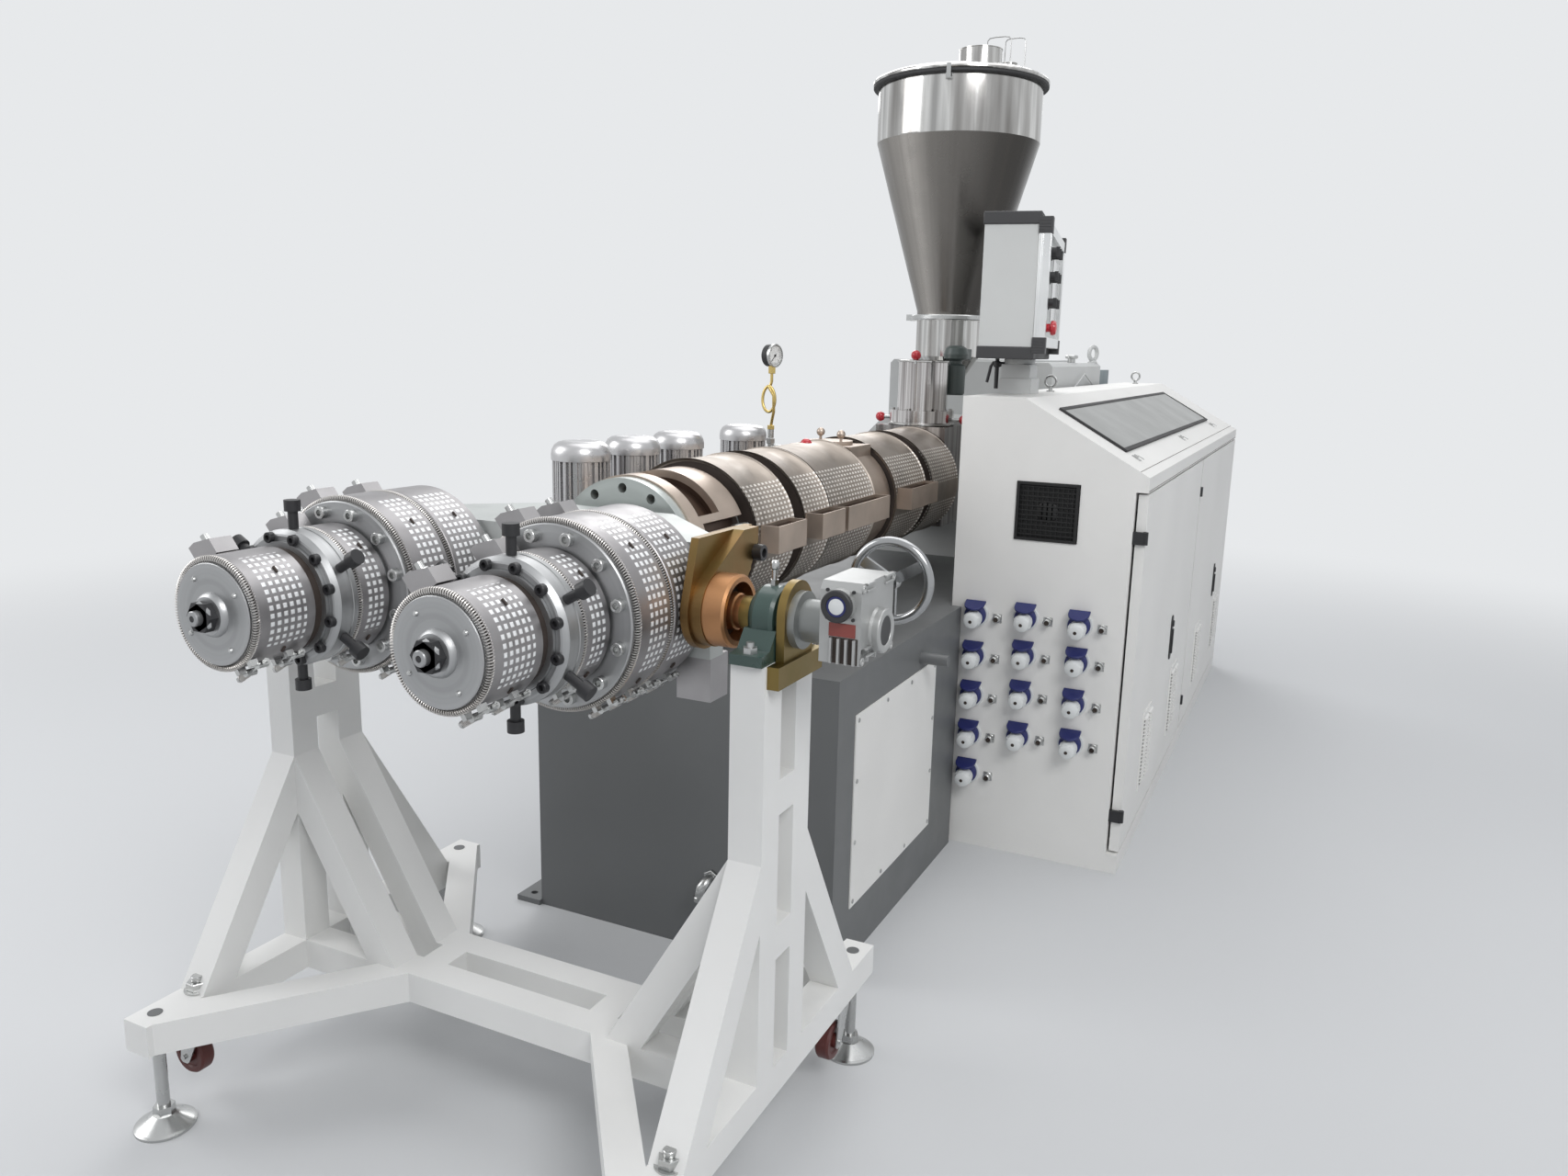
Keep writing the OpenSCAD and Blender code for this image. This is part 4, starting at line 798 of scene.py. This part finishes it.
# ---- barrel
# Dark rings at the ends of the covers and dark bands on the barrel between them: painted shade in
# the gaps
seam = Piece()
seam.lathe([(0.1538, -0.6345), (0.1538, -0.6325)], BARREL, Y, 96)
COVERS = ((-0.396, -0.211), (-0.152, -0.008), (-0.002, 0.3), (0.459, 0.715), (0.778, 1.03))
for i, (y0, y1) in enumerate(COVERS):
    skin = Piece()
    skin.lathe([(0.13, y0 + 0.006), (0.168, y0 + 0.006), (0.1725, y0 + 0.004), (0.1745, y0 + 0.001),
        (0.1745, y0 - 0.0005), (0.1735, y0), (0.1712, y0 + 0.002), (0.1712, y1 - 0.002),
        (0.1735, y1), (0.1745, y1 + 0.0005), (0.1745, y1 - 0.001), (0.168, y1 - 0.006),
        (0.13, y1 - 0.006)], BARREL, Y, 128, ref=(0, 0, -1))
    obj = skin.done(f"barrel_cover_{i}", "cover", angle=50)
    polar_uv(obj, 0.0)
    seam.lathe([(0.1302, y0 + 0.005), (0.1665, y0 + 0.005)], BARREL, Y, 96)
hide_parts("barrel_covers")
seam.done("barrel_gaps", "gap", "brown_steel")
dark = Piece()
for y0, y1 in ((-0.418, -0.396), (-0.211, -0.152), (-0.008, -0.002), (0.3, 0.306), (0.715, 0.778),
        (1.03, 1.034)):
    dark.lathe([(0.1285, y0), (0.1292, y0 + 0.0005), (0.1292, y1 - 0.0005), (0.1285, y1)], BARREL,
        Y, 96)
dark.done("barrel_dark_bands", "gap", "brown_steel")

# Dark sheets inside the outlet trays: painted shade in their hollows
tray_shade = Piece()
SHEET = 0.0035
for y0, y1 in ((-0.382, -0.238), (-0.148, -0.012), (0.009, 0.293), (0.47, 0.7)):
    corners = ((0.1749, y0 + SHEET), (0.2124, y0 + SHEET), (0.2124, y1 - SHEET),
        (0.1749, y1 - SHEET))
    tray_shade.put([(x, y, z) for z in (0.9815, 1.03) for x, y in corners],
              [[0, 1, 2, 3], [0, 4, 5, 1], [1, 5, 6, 2], [2, 6, 7, 3], [3, 7, 4, 0]])
tray_shade.done("outlet_tray_shade", "brown_shade")

# Bolt block of the clamp sleeve
block, socket = Piece(), Piece()
block.prism([(0.15, 1.006), (0.168, 1.004), (0.1715, 1.01), (0.17, 1.044), (0.164, 1.05),
    (0.146, 1.048)], (0, -0.428, 0), X, Z, 0.046)
block.done("sleeve_clamp_block", "zinc", bevel=0.0015)
socket.prism([(0.1545, 1.021), (0.1665, 1.021), (0.1665, 1.033), (0.1545, 1.033)], (0, -0.4738, 0),
    X, Z, 0.0006)
socket.done("sleeve_clamp_socket", "black")

# ---- red ball knobs
knobs, stems = Piece(), Piece()
for x, y, z in ((0.0, 0.216, 1.166), (0.0, 0.504, 1.137), (-0.148, 1.145, 1.197),
        (0.148, 1.145, 1.197), (0.0, 1.062, 1.405)):
    knobs.ball((x, y, z), 0.0165)
stems.cyl((0.0, 0.316, 1.126), (0, -1, 0.4), 0.005, 0.105, 12)
stems.cyl((0.0, 0.42, 1.137), Y, 0.005, 0.08, 12)
for s in (-1, 1):
    stems.cyl((s * 0.108, 1.145, 1.197), (s, 0, 0), 0.006, 0.03, 12)
stems.cyl((0.0, 1.062, 1.378), Z, 0.005, 0.02, 12)
knobs.done("red_ball_knobs", "red")
stems.done("knob_stems", "zinc")

# ---- blowers: ribbed motors
BLOWER_X = -0.356
for i, y in enumerate((-0.304, -0.08, 0.146, 0.53)):
    ribs = Piece()
    outline = [(r * cos(a + da), r * sin(a + da)) for a in around(28)
               for da, r in ((-0.055, 0.06), (-0.035, 0.0685), (0.035, 0.0685), (0.055, 0.06))]
    ribs.prism(outline, (BLOWER_X, y, 1.035), X, Y, 0.107)
    ribs.lathe([(0.069, 1.141), (0.0715, 1.142), (0.0718, 1.156), (0.07, 1.167), (0.064, 1.178),
        (0.054, 1.185), (0.044, 1.187), (0.042, 1.183), (0.0, 1.183)], (BLOWER_X, y, 0), Z, 48)
    ribs.lathe([(0, 1.03), (0.074, 1.03), (0.08, 1.033), (0.08, 1.04), (0.074, 1.043), (0, 1.043)],
        (BLOWER_X, y, 0), Z, 48)
    ribs.done(f"blower_motor_{i}", "motor_silver", angle=30)

# ---- gauge
GAUGE = Vector((-0.178, 0.36, 1.396))
TO_FACE = Vector((0.974, -0.225, 0.0))


def gauge_at(z, dx=0.0, dy=0.0):
    return Vector((GAUGE.x + dx, GAUGE.y + dy, z))


dial_frame = Matrix.Translation(GAUGE) @ TO_FACE.to_track_quat("Y", "Z").to_matrix().to_4x4()
Piece().lathe([(0.0, -0.018), (0.026, -0.018), (0.0305, -0.014), (0.0305, 0.008), (0.0, 0.008)],
    GAUGE, TO_FACE, 40).done("gauge_case", "black_plastic", stand_for=("gauge_column",))
bezel = Piece()
bezel.lathe([(0.03, 0.006), (0.0325, 0.007), (0.0325, 0.0125), (0.031, 0.014), (0.0288, 0.014),
    (0.0284, 0.0105), (0.0284, 0.006)], GAUGE, TO_FACE, 40, closed=True)
bezel.cyl(gauge_at(1.13), Z, 0.009, 0.066, 20)
bezel.cyl(gauge_at(1.15), Z, 0.013, 0.016, 6, 0.001)
bezel.cyl(gauge_at(1.14), X, 0.008, 0.09, 20)
bezel.done("gauge_bezel_and_fitting", "zinc")
Piece().cyl(GAUGE + TO_FACE * 0.0082, TO_FACE, 0.0283, 0.0015, 40).done("gauge_face", "dial")
marks = Piece()
for k in range(25):
    at = dial_frame @ Matrix.Rotation(radians(45 - 270 * k / 24), 4, "Y")
    marks.box((-0.0265, 0.0098, -0.0003), (-0.0215 if k % 4 else -0.019, 0.0102,
        0.0003 if k % 4 else 0.0007), at)
marks.box((-0.007, 0.0104, -0.0008), (0.02, 0.011, 0.0008),
    dial_frame @ Matrix.Rotation(radians(48), 4, "Y"))
marks.cyl(GAUGE + TO_FACE * 0.0098, TO_FACE, 0.003, 0.0025, 16)
marks.done("gauge_marks", "black")
siphon = Piece()
siphon.cyl(gauge_at(1.346), Z, 0.011, 0.022, 6, 0.001)
siphon.cyl(gauge_at(1.19), Z, 0.011, 0.012, 6, 0.001)
path = [gauge_at(1.35), gauge_at(1.325)]
for k in range(25):
    a = pi / 2 + 2 * pi * k / 24 * 0.99
    path.append(gauge_at(1.276 + 0.0365 * sin(a), 0.0215 * cos(a) - 0.004, -0.016 * k / 24))
path += [gauge_at(1.285, 0.014, -0.014), gauge_at(1.24, 0.013, -0.01),
    gauge_at(1.215, 0.004, -0.002), gauge_at(1.196)]
siphon.tube(path, 0.0042, 12)
siphon.done("gauge_siphon", "brass")

# ---- throat and hopper
ring = Piece()
ring.lathe([(0.107, 1.176), (0.1105, 1.178), (0.1105, 1.184), (0.107, 1.186)], THROAT, Z, 64)
ring.lathe([(0.0832, 1.382), (0.0862, 1.3835), (0.0862, 1.3885), (0.0832, 1.39)], THROAT, Z, 64)
for a in around(6, 0.3):
    ring.cyl((0.0955 * cos(a), 1.145 + 0.0955 * sin(a), 1.225), Z, 0.006, 0.006, 6)
ring.done("throat_rims", "mirror")
# Black ring under the lid's rim: a gasket and the painted shade under the rim's overhang
Piece().lathe([(0.2745, 2.282), (0.2905, 2.282), (0.293, 2.285), (0.293, 2.29), (0.291, 2.2935),
    (0.2745, 2.2935)], HOPPER, Z, 128, closed=True).done("hopper_gasket_and_rim_shade", "gasket")
lid = Piece()
lid.lathe([(0.289, 2.294), (0.292, 2.294), (0.2945, 2.2965), (0.2945, 2.301), (0.29, 2.306),
    (0.28, 2.309), (0.27, 2.314), (0.18, 2.329), (0.09, 2.34), (0.0, 2.344)], HOPPER, Z, 128)
for x, y, r, z0, z1 in ((0.07, 1.37, 0.07, 2.339, 2.4), (0.156, 1.41, 0.026, 2.324, 2.36)):
    lid.lathe([(r + 0.01, z0 - 0.003), (r + 0.001, z0 + 0.004), (r, z0 + 0.012), (r, z1 - 0.003),
        (r + 0.002, z1 - 0.002), (r + 0.002, z1), (r - 0.001, z1), (r - 0.003, z1 - 0.003),
        (r - 0.003, z0 + 0.02), (0, z0 + 0.02)], (x, y, 0), Z, 56)
lid.done("hopper_lid_sheet", "mirror", stand_for=("hopper_lid",))
Piece().lathe([(0.2745, 2.284), (0.2745, 2.112), (0.2737, 2.108)], HOPPER, Z,
    128).done("hopper_cylinder_skin", "mirror")
Piece().lathe([(0.2741, 2.1115), (0.2736, 2.108), (0.1126, 1.556), (0.1122, 1.544)], HOPPER, Z,
    128).done("hopper_cone_skin", "cone", angle=60)

# Hopper clamp ring with its latch, the lid's clips and its two wire bails
ring = Piece()
ring.lathe([(0.1125, 1.526), (0.131, 1.526), (0.1335, 1.529), (0.1335, 1.54), (0.131, 1.543),
    (0.1125, 1.543)], HOPPER, Z, 72)
ring.cyl((-0.142, 1.372, 1.534), Y, 0.006, 0.036, 12)
ring.box((-0.15, 1.366, 1.524), (-0.126, 1.372, 1.545))
ring.box((-0.15, 1.408, 1.524), (-0.126, 1.414, 1.545))
ring.cyl((-0.142, 1.41, 1.534), Y, 0.01, 0.012, 6)
for a in around(3, 0.7):
    at = Matrix.Translation(HOPPER) @ Matrix.Rotation(a, 4, "Z")
    ring.box((0.276, -0.011, 2.262), (0.28, 0.011, 2.286), at)
    ring.box((0.2935, -0.007, 2.264), (0.2965, 0.007, 2.306), at)
    ring.box((0.279, -0.007, 2.262), (0.296, 0.007, 2.266), at)
bails = Piece()
for x, y, w, high in ((0.126, 1.386, 0.04, 2.44), (0.176, 1.404, 0.034, 2.436)):
    bails.tube([(x - w, y, 2.33), (x - w, y, high - 0.01), (x - w * 0.8, y, high - 0.002),
        (x - w * 0.4, y, high), (x + w * 0.4, y, high), (x + w * 0.8, y, high - 0.002),
        (x + w, y, high - 0.01), (x + w, y, 2.33)], 0.0019, 8)
ring.done("hopper_clamp", "zinc", "mirror_steel")
bails.done("lid_bails", "wire")

# ---- stand: nuts and screw ends
BEAM_TOP = 0.2262
nuts, holes = Piece(), Piece()
for x in (-END_X, END_X):
    for y in (-1.31, -0.69):
        nuts.cyl((x, y, BEAM_TOP), Z, 0.024, 0.003, 32)
        nuts.cyl((x, y, 0.2292), Z, 0.0195, 0.015, 6, 0.001)
        nuts.cyl((x, y, 0.2442), Z, 0.0105, 0.01, 18, 0.001)
    for y in (-1.397, -0.603):
        nuts.lathe([(0.0112, 0.15), (0.019, 0.15), (0.02, 0.153), (0.02, 0.163), (0.019, 0.1655),
            (0.0112, 0.1655)], (x, y, 0), Z, 6)
        holes.cyl((x, y, BEAM_TOP), Z, 0.0128, 0.0008, 24)
nuts.done("stand_nuts", "zinc")
holes.done("levelling_screw_ends", "dark")

# ---- base: screws and water stub
screws = Piece()
for ys, zs in (((-0.272, -0.09, 0.08, 0.262), (0.153, 0.596)), ((-0.272, 0.262), (0.3, 0.45))):
    for y in ys:
        for z in zs:
            screws.cyl((0.3738, y, z), X, 0.0055, 0.0026, 14, 0.0008)
screws.done("panel_screws", "zinc")
stub = Piece()
stub.cyl((0.063, -0.3852, 0.189), (0, -1, 0), 0.021, 0.01, 6, 0.001)
stub.tube([(0.063, -0.39, 0.189), (0.063, -0.408, 0.189), (0.061, -0.418, 0.186),
    (0.056, -0.424, 0.178), (0.054, -0.426, 0.166), (0.054, -0.426, 0.15)], 0.0135, 16)
stub.cyl((0.054, -0.426, 0.158), (0, 0, -1), 0.0165, 0.012, 20, 0.001)
stub.done("water_stub", "zinc")

# ---- cabinet
cab = Piece()
for lo, hi in (((0.503, 0.5062, 0.917), (0.511, 0.5105, 1.078)),
        ((0.665, 0.5062, 0.917), (0.673, 0.5105, 1.078)),
        ((0.511, 0.5062, 0.917), (0.665, 0.5105, 0.925)),
        ((0.511, 0.5062, 1.07), (0.665, 0.5105, 1.078))):
    cab.box(lo, hi)
WIRE = 0.0035
for k in range(11):
    z = 0.932 + k * 0.0131
    cab.box((0.509, 0.5125, z), (0.667, 0.515, z + WIRE))
for k in range(11):
    x = 0.518 + k * 0.0136
    cab.box((x, 0.5155, 0.923), (x + WIRE, 0.5175, 1.072))
cab.box((0.5, 0.5195, 0.914), (0.676, 0.5215, 1.081))
cab.lathe([(0, -0.004), (0.026, -0.004), (0.03, -0.002), (0.03, 0.0), (0, 0)],
    (0.588, 0.5195, 0.9975), Y, 32)
cab.done("fan_grille", "deep_black")

SLOPE = Matrix.Translation((0.509, 0, 1.3)) @ Matrix.Rotation(atan2(0.192, 0.341), 4, "Y")
seal = Piece()
for lo, hi in (((0.068, 0.655, 0.0), (0.08, 2.635, 0.0075)),
        ((0.276, 0.655, 0.0), (0.288, 2.635, 0.0075)), ((0.08, 0.655, 0.0), (0.276, 0.667, 0.0075)),
        ((0.08, 2.623, 0.0), (0.276, 2.635, 0.0075))):
    seal.box(lo, hi, SLOPE)
seal.done("window_gasket", "gasket")
seams = Piece()
seams.box((0.362, 0.515, 0.0), (0.3636, 3.02, 0.0006), SLOPE)
seams.box((0.8496, 0.515, 1.0715), (0.8505, 3.026, 1.0728))
seams.done("cabinet_seams", "gap", "white_paint")
catches = Piece()
for y in (0.672, 1.622, 2.57):
    at = SLOPE @ Matrix.Translation((0.318, y, 0))
    catches.box((-0.014, -0.011, 0), (0.014, 0.011, 0.002), at)
    catches.box((-0.01, -0.006, 0.002), (0.004, 0.006, 0.0075), at)
    catches.box((0.000, -0.0035, 0.0075), (0.02, 0.0035, 0.0095), at)
for y in (1.186, 2.835):
    eye = Vector((0.42, y, 1.3))
    catches.cyl(eye, Z, 0.013, 0.004, 20, 0.001)
    catches.cyl(eye, Z, 0.0065, 0.016, 14)
    pts = [eye + Vector((0.0175 * sin(a), 0, 0.032 - 0.0175 * cos(a))) for a in around(24)]
    catches.tube(pts, 0.0042, 10, closed=True)
catches.done("cabinet_catches_and_eyes", "zinc")

DOOR_SKIN = 0.85


def louvre_panel(piece, dark, y, low=0.15, high=0.39, width=0.17):
    """Raised panel with a stack of short pressed slots near its front edge and its rear edge, with
    dark strips of painted shade in the slots.
    """
    piece.prism([(y, low), (y + width, low), (y + width, high - 0.02), (y + width - 0.02, high),
        (y, high)], (DOOR_SKIN, 0, 0), Y, Z, 0.003)
    count = 18
    for k in range(count):
        z = low + 0.02 + (high - low - 0.045) * k / (count - 1)
        for a in (y + 0.016, y + width - 0.076):
            piece.prism([(0, 0.0005), (0.006, 0.0015), (0.0056, 0.0045), (0, 0.0075)],
                (0.8528, a, z), X, Z, -0.06)
            dark.box((0.8528, a - 0.001, z - 0.0058), (0.854, a + 0.061, z + 0.0002))


def handle(piece, y, low, high):
    """Flush swing handle with its pressed dish and lever."""
    piece.prism([(y - 0.017, low + 0.012), (y - 0.01, low), (y + 0.01, low),
        (y + 0.017, low + 0.012), (y + 0.017, high - 0.012), (y + 0.01, high), (y - 0.01, high),
        (y - 0.017, high - 0.012)], (DOOR_SKIN, 0, 0), Y, Z, 0.004)
    piece.box((0.854, y - 0.0075, low + 0.02), (0.859, y + 0.0075, high - 0.045))
    piece.cyl((0.854, y, high - 0.026), X, 0.011, 0.0045, 22, 0.001)


for name, spots, hy, low, high in (("front", (0.787, 1.362), 1.275, 0.444, 0.59),
        ("rear", (2.05, 2.707), 2.605, 0.414, 0.555)):
    body = f"door_{name}"
    vents, dark = Piece(), Piece()
    for y in spots:
        louvre_panel(vents, dark, y)
    vents.done(f"{body}_louvres", "cabinet", body=body)
    dark.done(f"{body}_slots", "gap", body=body)
    grip = Piece()
    handle(grip, hy, low, high)
    grip.done(f"{body}_handle", "black_plastic", body=body, bevel=0.001)

# Sockets: pale rim, blue housing with its lid resting on the plug, white plug, and a round
# connector beside it
COLUMNS = ((0.409, (0.693, 0.575, 0.458, 0.341, 0.225)), (0.551, (0.701, 0.594, 0.479, 0.357)),
    (0.699, (0.698, 0.594, 0.476, 0.36)))
rims, blue, plugs, dark, metalwork = (Piece() for _ in range(5))
LID_R = 0.0285
LID = [(-LID_R, 0.0), (LID_R, 0.0)] + [(LID_R * cos(a), 0.018 + LID_R * sin(a))
    for a in around(32)[:17]]
down = Vector((0, -cos(0.12), -sin(0.12)))
for x, zs in COLUMNS:
    for z in zs:
        c = Vector((x, 0.51, z))
        rims.lathe([(0, 0), (0.035, 0), (0.0365, -0.0015), (0.0365, -0.004), (0.035, -0.0055),
            (0.03, -0.0055), (0, -0.0055)], c, Y, 36)
        blue.lathe([(0, 0), (0.0305, 0), (0.0305, 0.014), (0.029, 0.018), (0.024, 0.02), (0, 0.02)],
            c, down, 36)
        blue.box((x - 0.02, 0.4975, z + 0.024), (x + 0.02, 0.5095, z + 0.038))
        blue.prism(LID, c + Vector((0, -0.004, 0.036)), X, (0, -0.92, -0.39), -0.006)
        mouth = c + Vector((0, 0, -0.005))
        plugs.lathe([(0, 0.01), (0.0235, 0.01), (0.0235, 0.034), (0.0228, 0.048), (0.0205, 0.0555),
            (0.015, 0.0585), (0.0085, 0.0595), (0, 0.0595)], mouth, down, 30)
        for a in (0.5, pi - 0.5, -0.5, pi + 0.5):
            plugs.cyl(c + Vector((0.0225 * cos(a), -0.024, -0.0075 + 0.0225 * sin(a))), down,
                0.0028, 0.022, 8)
        # Dark discs at the plug's end and in the connector: painted shade in their holes
        dark.cyl(mouth + down * 0.0592, down, 0.0048, 0.0012, 16)
        p = c + Vector((0.062, 0, -0.006))
        metalwork.lathe([(0, 0), (0.0125, 0), (0.0125, 0.0025), (0.011, 0.004), (0.0095, 0.004),
            (0.0095, 0.013), (0.0105, 0.014), (0.0105, 0.021), (0.009, 0.0225), (0.0072, 0.0225),
            (0.0068, 0.017), (0, 0.017)], p, (0, -1, 0), 24)
        metalwork.box((p.x - 0.0125, 0.5085, p.z - 0.0125), (p.x + 0.0125, 0.51, p.z + 0.0125))
        dark.cyl(p + Vector((0, -0.0168, 0)), (0, -1, 0), 0.0065, 0.0012, 16)
rims.done("socket_rims", "plug")
blue.done("socket_housings", "blue", bevel=0.0012, stand_for=("cabinet_sockets",))
plugs.done("plugs", "plug")
dark.done("socket_holes", "gap")
metalwork.done("round_connectors", "zinc")

# ---- operator box, in a turned frame
CX, CY = 0.385, 0.91
AT = Matrix.Translation((CX, CY, 1.402)) @ Matrix.Rotation(radians(9.3), 4, "Z")
core, caps, alu, corners, knobs, red, screen = (Piece() for _ in range(7))
core.box((-0.0885, -0.316, 0.03), (0.06, 0.316, 0.362), AT)
core.box((0.059, -0.296, 0.06), (0.08, 0.296, 0.336), AT)
core.done("operator_box_sheet", "box_face", body="operator_box", bevel=0.0015,
    stand_for=("control_box",))
for z in (0.0, 0.358):
    caps.box((-0.0925, -0.32, z), (0.064, 0.32, z + 0.034), AT)
    caps.box((0.056, -0.3205, z), (0.064, 0.3205, z + 0.034), AT)
caps.done("operator_box_caps", "frame", body="operator_box", bevel=0.003)
for y in (-0.32, 0.292):
    alu.box((0.06, y, 0.03), (0.092, y + 0.028, 0.366), AT)
    alu.box((0.066, y - 0.001, 0.03), (0.072, y + 0.029, 0.366), AT)
for z in (0.034, 0.334):
    alu.box((0.06, -0.293, z), (0.092, 0.293, z + 0.028), AT)
alu.done("operator_box_profiles", "aluminium", body="operator_box", bevel=0.0012)
for y in (-0.3225, 0.2815):
    for z in (0.016, 0.334):
        corners.box((0.0575, y, z), (0.0945, y + 0.041, z + 0.044), AT)
        for k in range(4):
            corners.box((0.057, y - 0.0008, z + 0.008 + 0.008 * k),
                (0.09, y + 0.0418, z + 0.011 + 0.008 * k), AT)
corners.done("operator_box_corners", "frame", body="operator_box", bevel=0.002)
screen.box((0.079, -0.01, 0.11), (0.0815, 0.23, 0.29), AT)
screen.done("operator_screen", "screen", body="operator_box", bevel=0.001)
OUT = AT.to_3x3() @ Vector(X)
for z in (0.292, 0.227, 0.156):
    for y in (-0.25, -0.18, -0.11):
        knobs.cyl(AT @ Vector((0.0795, y, z)), OUT, 0.0145, 0.004, 24, 0.001)
        knobs.cyl(AT @ Vector((0.083, y, z)), OUT, 0.011, 0.02, 20, 0.0015)
        knobs.box((0.102, y - 0.003, z - 0.0125), (0.112, y + 0.003, z + 0.0125), AT)
knobs.done("operator_knobs", "black_plastic", body="operator_box")
red.lathe([(0, 0), (0.0165, 0), (0.0165, 0.006), (0.0115, 0.008), (0.0115, 0.02), (0.0195, 0.023),
    (0.0205, 0.03), (0.0175, 0.036), (0.008, 0.039), (0, 0.0395)],
    AT @ Vector((0.079, -0.25, 0.087)), OUT, 30)
red.done("stop_button", "red", body="operator_box")

pedestal = Piece()
pedestal.box((CX - 0.048, CY - 0.048, 1.3), (CX + 0.05, CY + 0.05, 1.345))
pedestal.box((CX - 0.044, CY - 0.044, 1.345), (CX + 0.044, CY + 0.044, 1.386))
pedestal.cyl((CX, CY, 1.386), Z, 0.046, 0.0155, 48, 0.001)
for x in (-0.038, 0.04):
    for y in (-0.038, 0.04):
        pedestal.cyl((CX + x, CY + y, 1.345), Z, 0.004, 0.003, 12)
pedestal.done("operator_pedestal", "pale", bevel=0.003, stand_for=("control_column",))
lever = Piece()
LX, LY = 0.321, 0.89
lever.cyl((LX, LY, 1.312), Z, 0.0062, 0.072, 18, 0.001)
lever.cyl((LX, LY, 1.376), Z, 0.0105, 0.018, 20, 0.002)
lever.cyl((LX, LY, 1.392), Z, 0.006, 0.0095, 16)
lever.cyl((CX - 0.04, LY, 1.385), (-1, 0, 0), 0.0075, 0.03, 16)
lever.tube([(LX, LY, 1.388), (LX - 0.012, LY, 1.389), (LX - 0.019, LY, 1.378),
    (LX - 0.029, LY, 1.33)], 0.0048, 12)
lever.done("clamp_lever", "black_plastic")

# ---- main gearbox: eyes and breather
TOP = 1.388  # top of the main gearbox
EYE_X = 0.285
lifts, breather = Piece(), Piece()
for s in (-1, 1):
    eye = Vector((s * EYE_X, 2.52, TOP))
    lifts.lathe([(0, 0), (0.02, 0), (0.02, 0.004), (0.013, 0.011), (0, 0.011)], eye, Z, 28)
    side = Vector((0.41, 0.91, 0.0))
    lifts.tube([eye + side * (0.0275 * sin(a)) + Vector((0, 0, 0.04 - 0.0275 * cos(a)))
        for a in around(32)], 0.0088, 14, closed=True)
    x = s * 0.3262
    lifts.tube([(x, 1.987, 1.292), (x, 2.176, 1.346), (x, 2.407, 1.284)], 0.003, 8)
lifts.done("gearbox_lifting_eyes", "pale")
breather.cyl((EYE_X, 2.1, TOP), Z, 0.015, 0.018, 24, 0.001)
breather.cyl((EYE_X, 2.1, TOP + 0.016), Z, 0.025, 0.014, 32, 0.003)
breather.done("gearbox_breather", "zinc")

# ---- stage
BACKGROUND = (0.8, 0.815, 0.83)


def seen_rays(tree):
    """1 for the rays that show the background: camera, glossy and transmission rays."""
    ray = new_node(tree, "ShaderNodeLightPath")
    total = ray.outputs["Is Camera Ray"]
    for kind in ("Is Glossy Ray", "Is Transmission Ray"):
        node = new_node(tree, "ShaderNodeMath", operation="MAXIMUM")
        tree.links.new(total, node.inputs[0])
        tree.links.new(ray.outputs[kind], node.inputs[1])
        total = node.outputs[0]
    return total


def floor_material():
    """Pale floor that takes shadows near the object and fades into the background far from it."""
    mat = bpy.data.materials.new("floor")
    mat.use_nodes = True
    tree = mat.node_tree
    shader = tree.nodes["Principled BSDF"]
    shader.inputs["Base Color"].default_value = (0.6, 0.61, 0.62, 1)
    shader.inputs["Roughness"].default_value = 0.75

    link = tree.links.new
    glow = new_node(tree, "ShaderNodeEmission")
    glow.inputs["Color"].default_value = (*BACKGROUND, 1)
    reach = new_node(tree, "ShaderNodeVectorMath", operation="DISTANCE")
    reach.inputs[1].default_value = (0.2, 0.6, 0.0)
    link(new_node(tree, "ShaderNodeNewGeometry").outputs["Position"], reach.inputs[0])
    fade = new_node(tree, "ShaderNodeMapRange", interpolation_type="SMOOTHSTEP")
    fade.inputs["From Min"].default_value = 2.2
    fade.inputs["From Max"].default_value = 6.5
    link(reach.outputs["Value"], fade.inputs["Value"])
    seen = new_node(tree, "ShaderNodeMath", operation="MULTIPLY")
    link(seen_rays(tree), seen.inputs[0])
    link(fade.outputs["Result"], seen.inputs[1])
    both = new_node(tree, "ShaderNodeMixShader")
    for source, place in ((seen, 0), (shader, 1), (glow, 2)):
        link(source.outputs[0], both.inputs[place])
    link(both.outputs[0], tree.nodes["Material Output"].inputs["Surface"])
    return mat


slab = Piece()
slab.box((-22, -20, -0.05), (22, 26, 0.0))
mesh = bpy.data.meshes.new("floor")
mesh.from_pydata(slab.verts, [], slab.faces)
mesh.materials.append(floor_material())
floor = add_object("floor", mesh)

world = bpy.data.worlds.new("studio")
world.use_nodes = True
scene.world = world
tree = world.node_tree
back = tree.nodes["Background"]
seen = new_node(tree, "ShaderNodeMix", data_type="RGBA")
tree.links.new(seen_rays(tree), seen.inputs[0])
seen.inputs[6].default_value = (0.42, 0.43, 0.45, 1)
seen.inputs[7].default_value = (*BACKGROUND, 1)
tree.links.new(seen.outputs[2], back.inputs["Color"])


def lamp(name, place, aim, size, power):
    data = bpy.data.lights.new(name, "AREA")
    data.shape = "RECTANGLE"
    data.size, data.size_y = size
    data.energy = power
    obj = add_object(name, data)
    obj.location = place
    obj.rotation_euler = (Vector(aim) - Vector(place)).to_track_quat("-Z", "Y").to_euler()


lamp("key", (3.6, -3.4, 4.6), (0, 0, 0.9), (2.6, 2.6), 150)
lamp("left", (-4.4, -2.4, 3.4), (0, -0.4, 0.9), (3.0, 3.0), 95)
lamp("top", (0.2, 1.2, 5.2), (0, 0.8, 0.8), (4.5, 4.5), 100)
lamp("rear", (-2.0, 5.6, 4.2), (0, 2.0, 0.9), (3.5, 2.5), 100)

scene.view_settings.view_transform = "Standard"
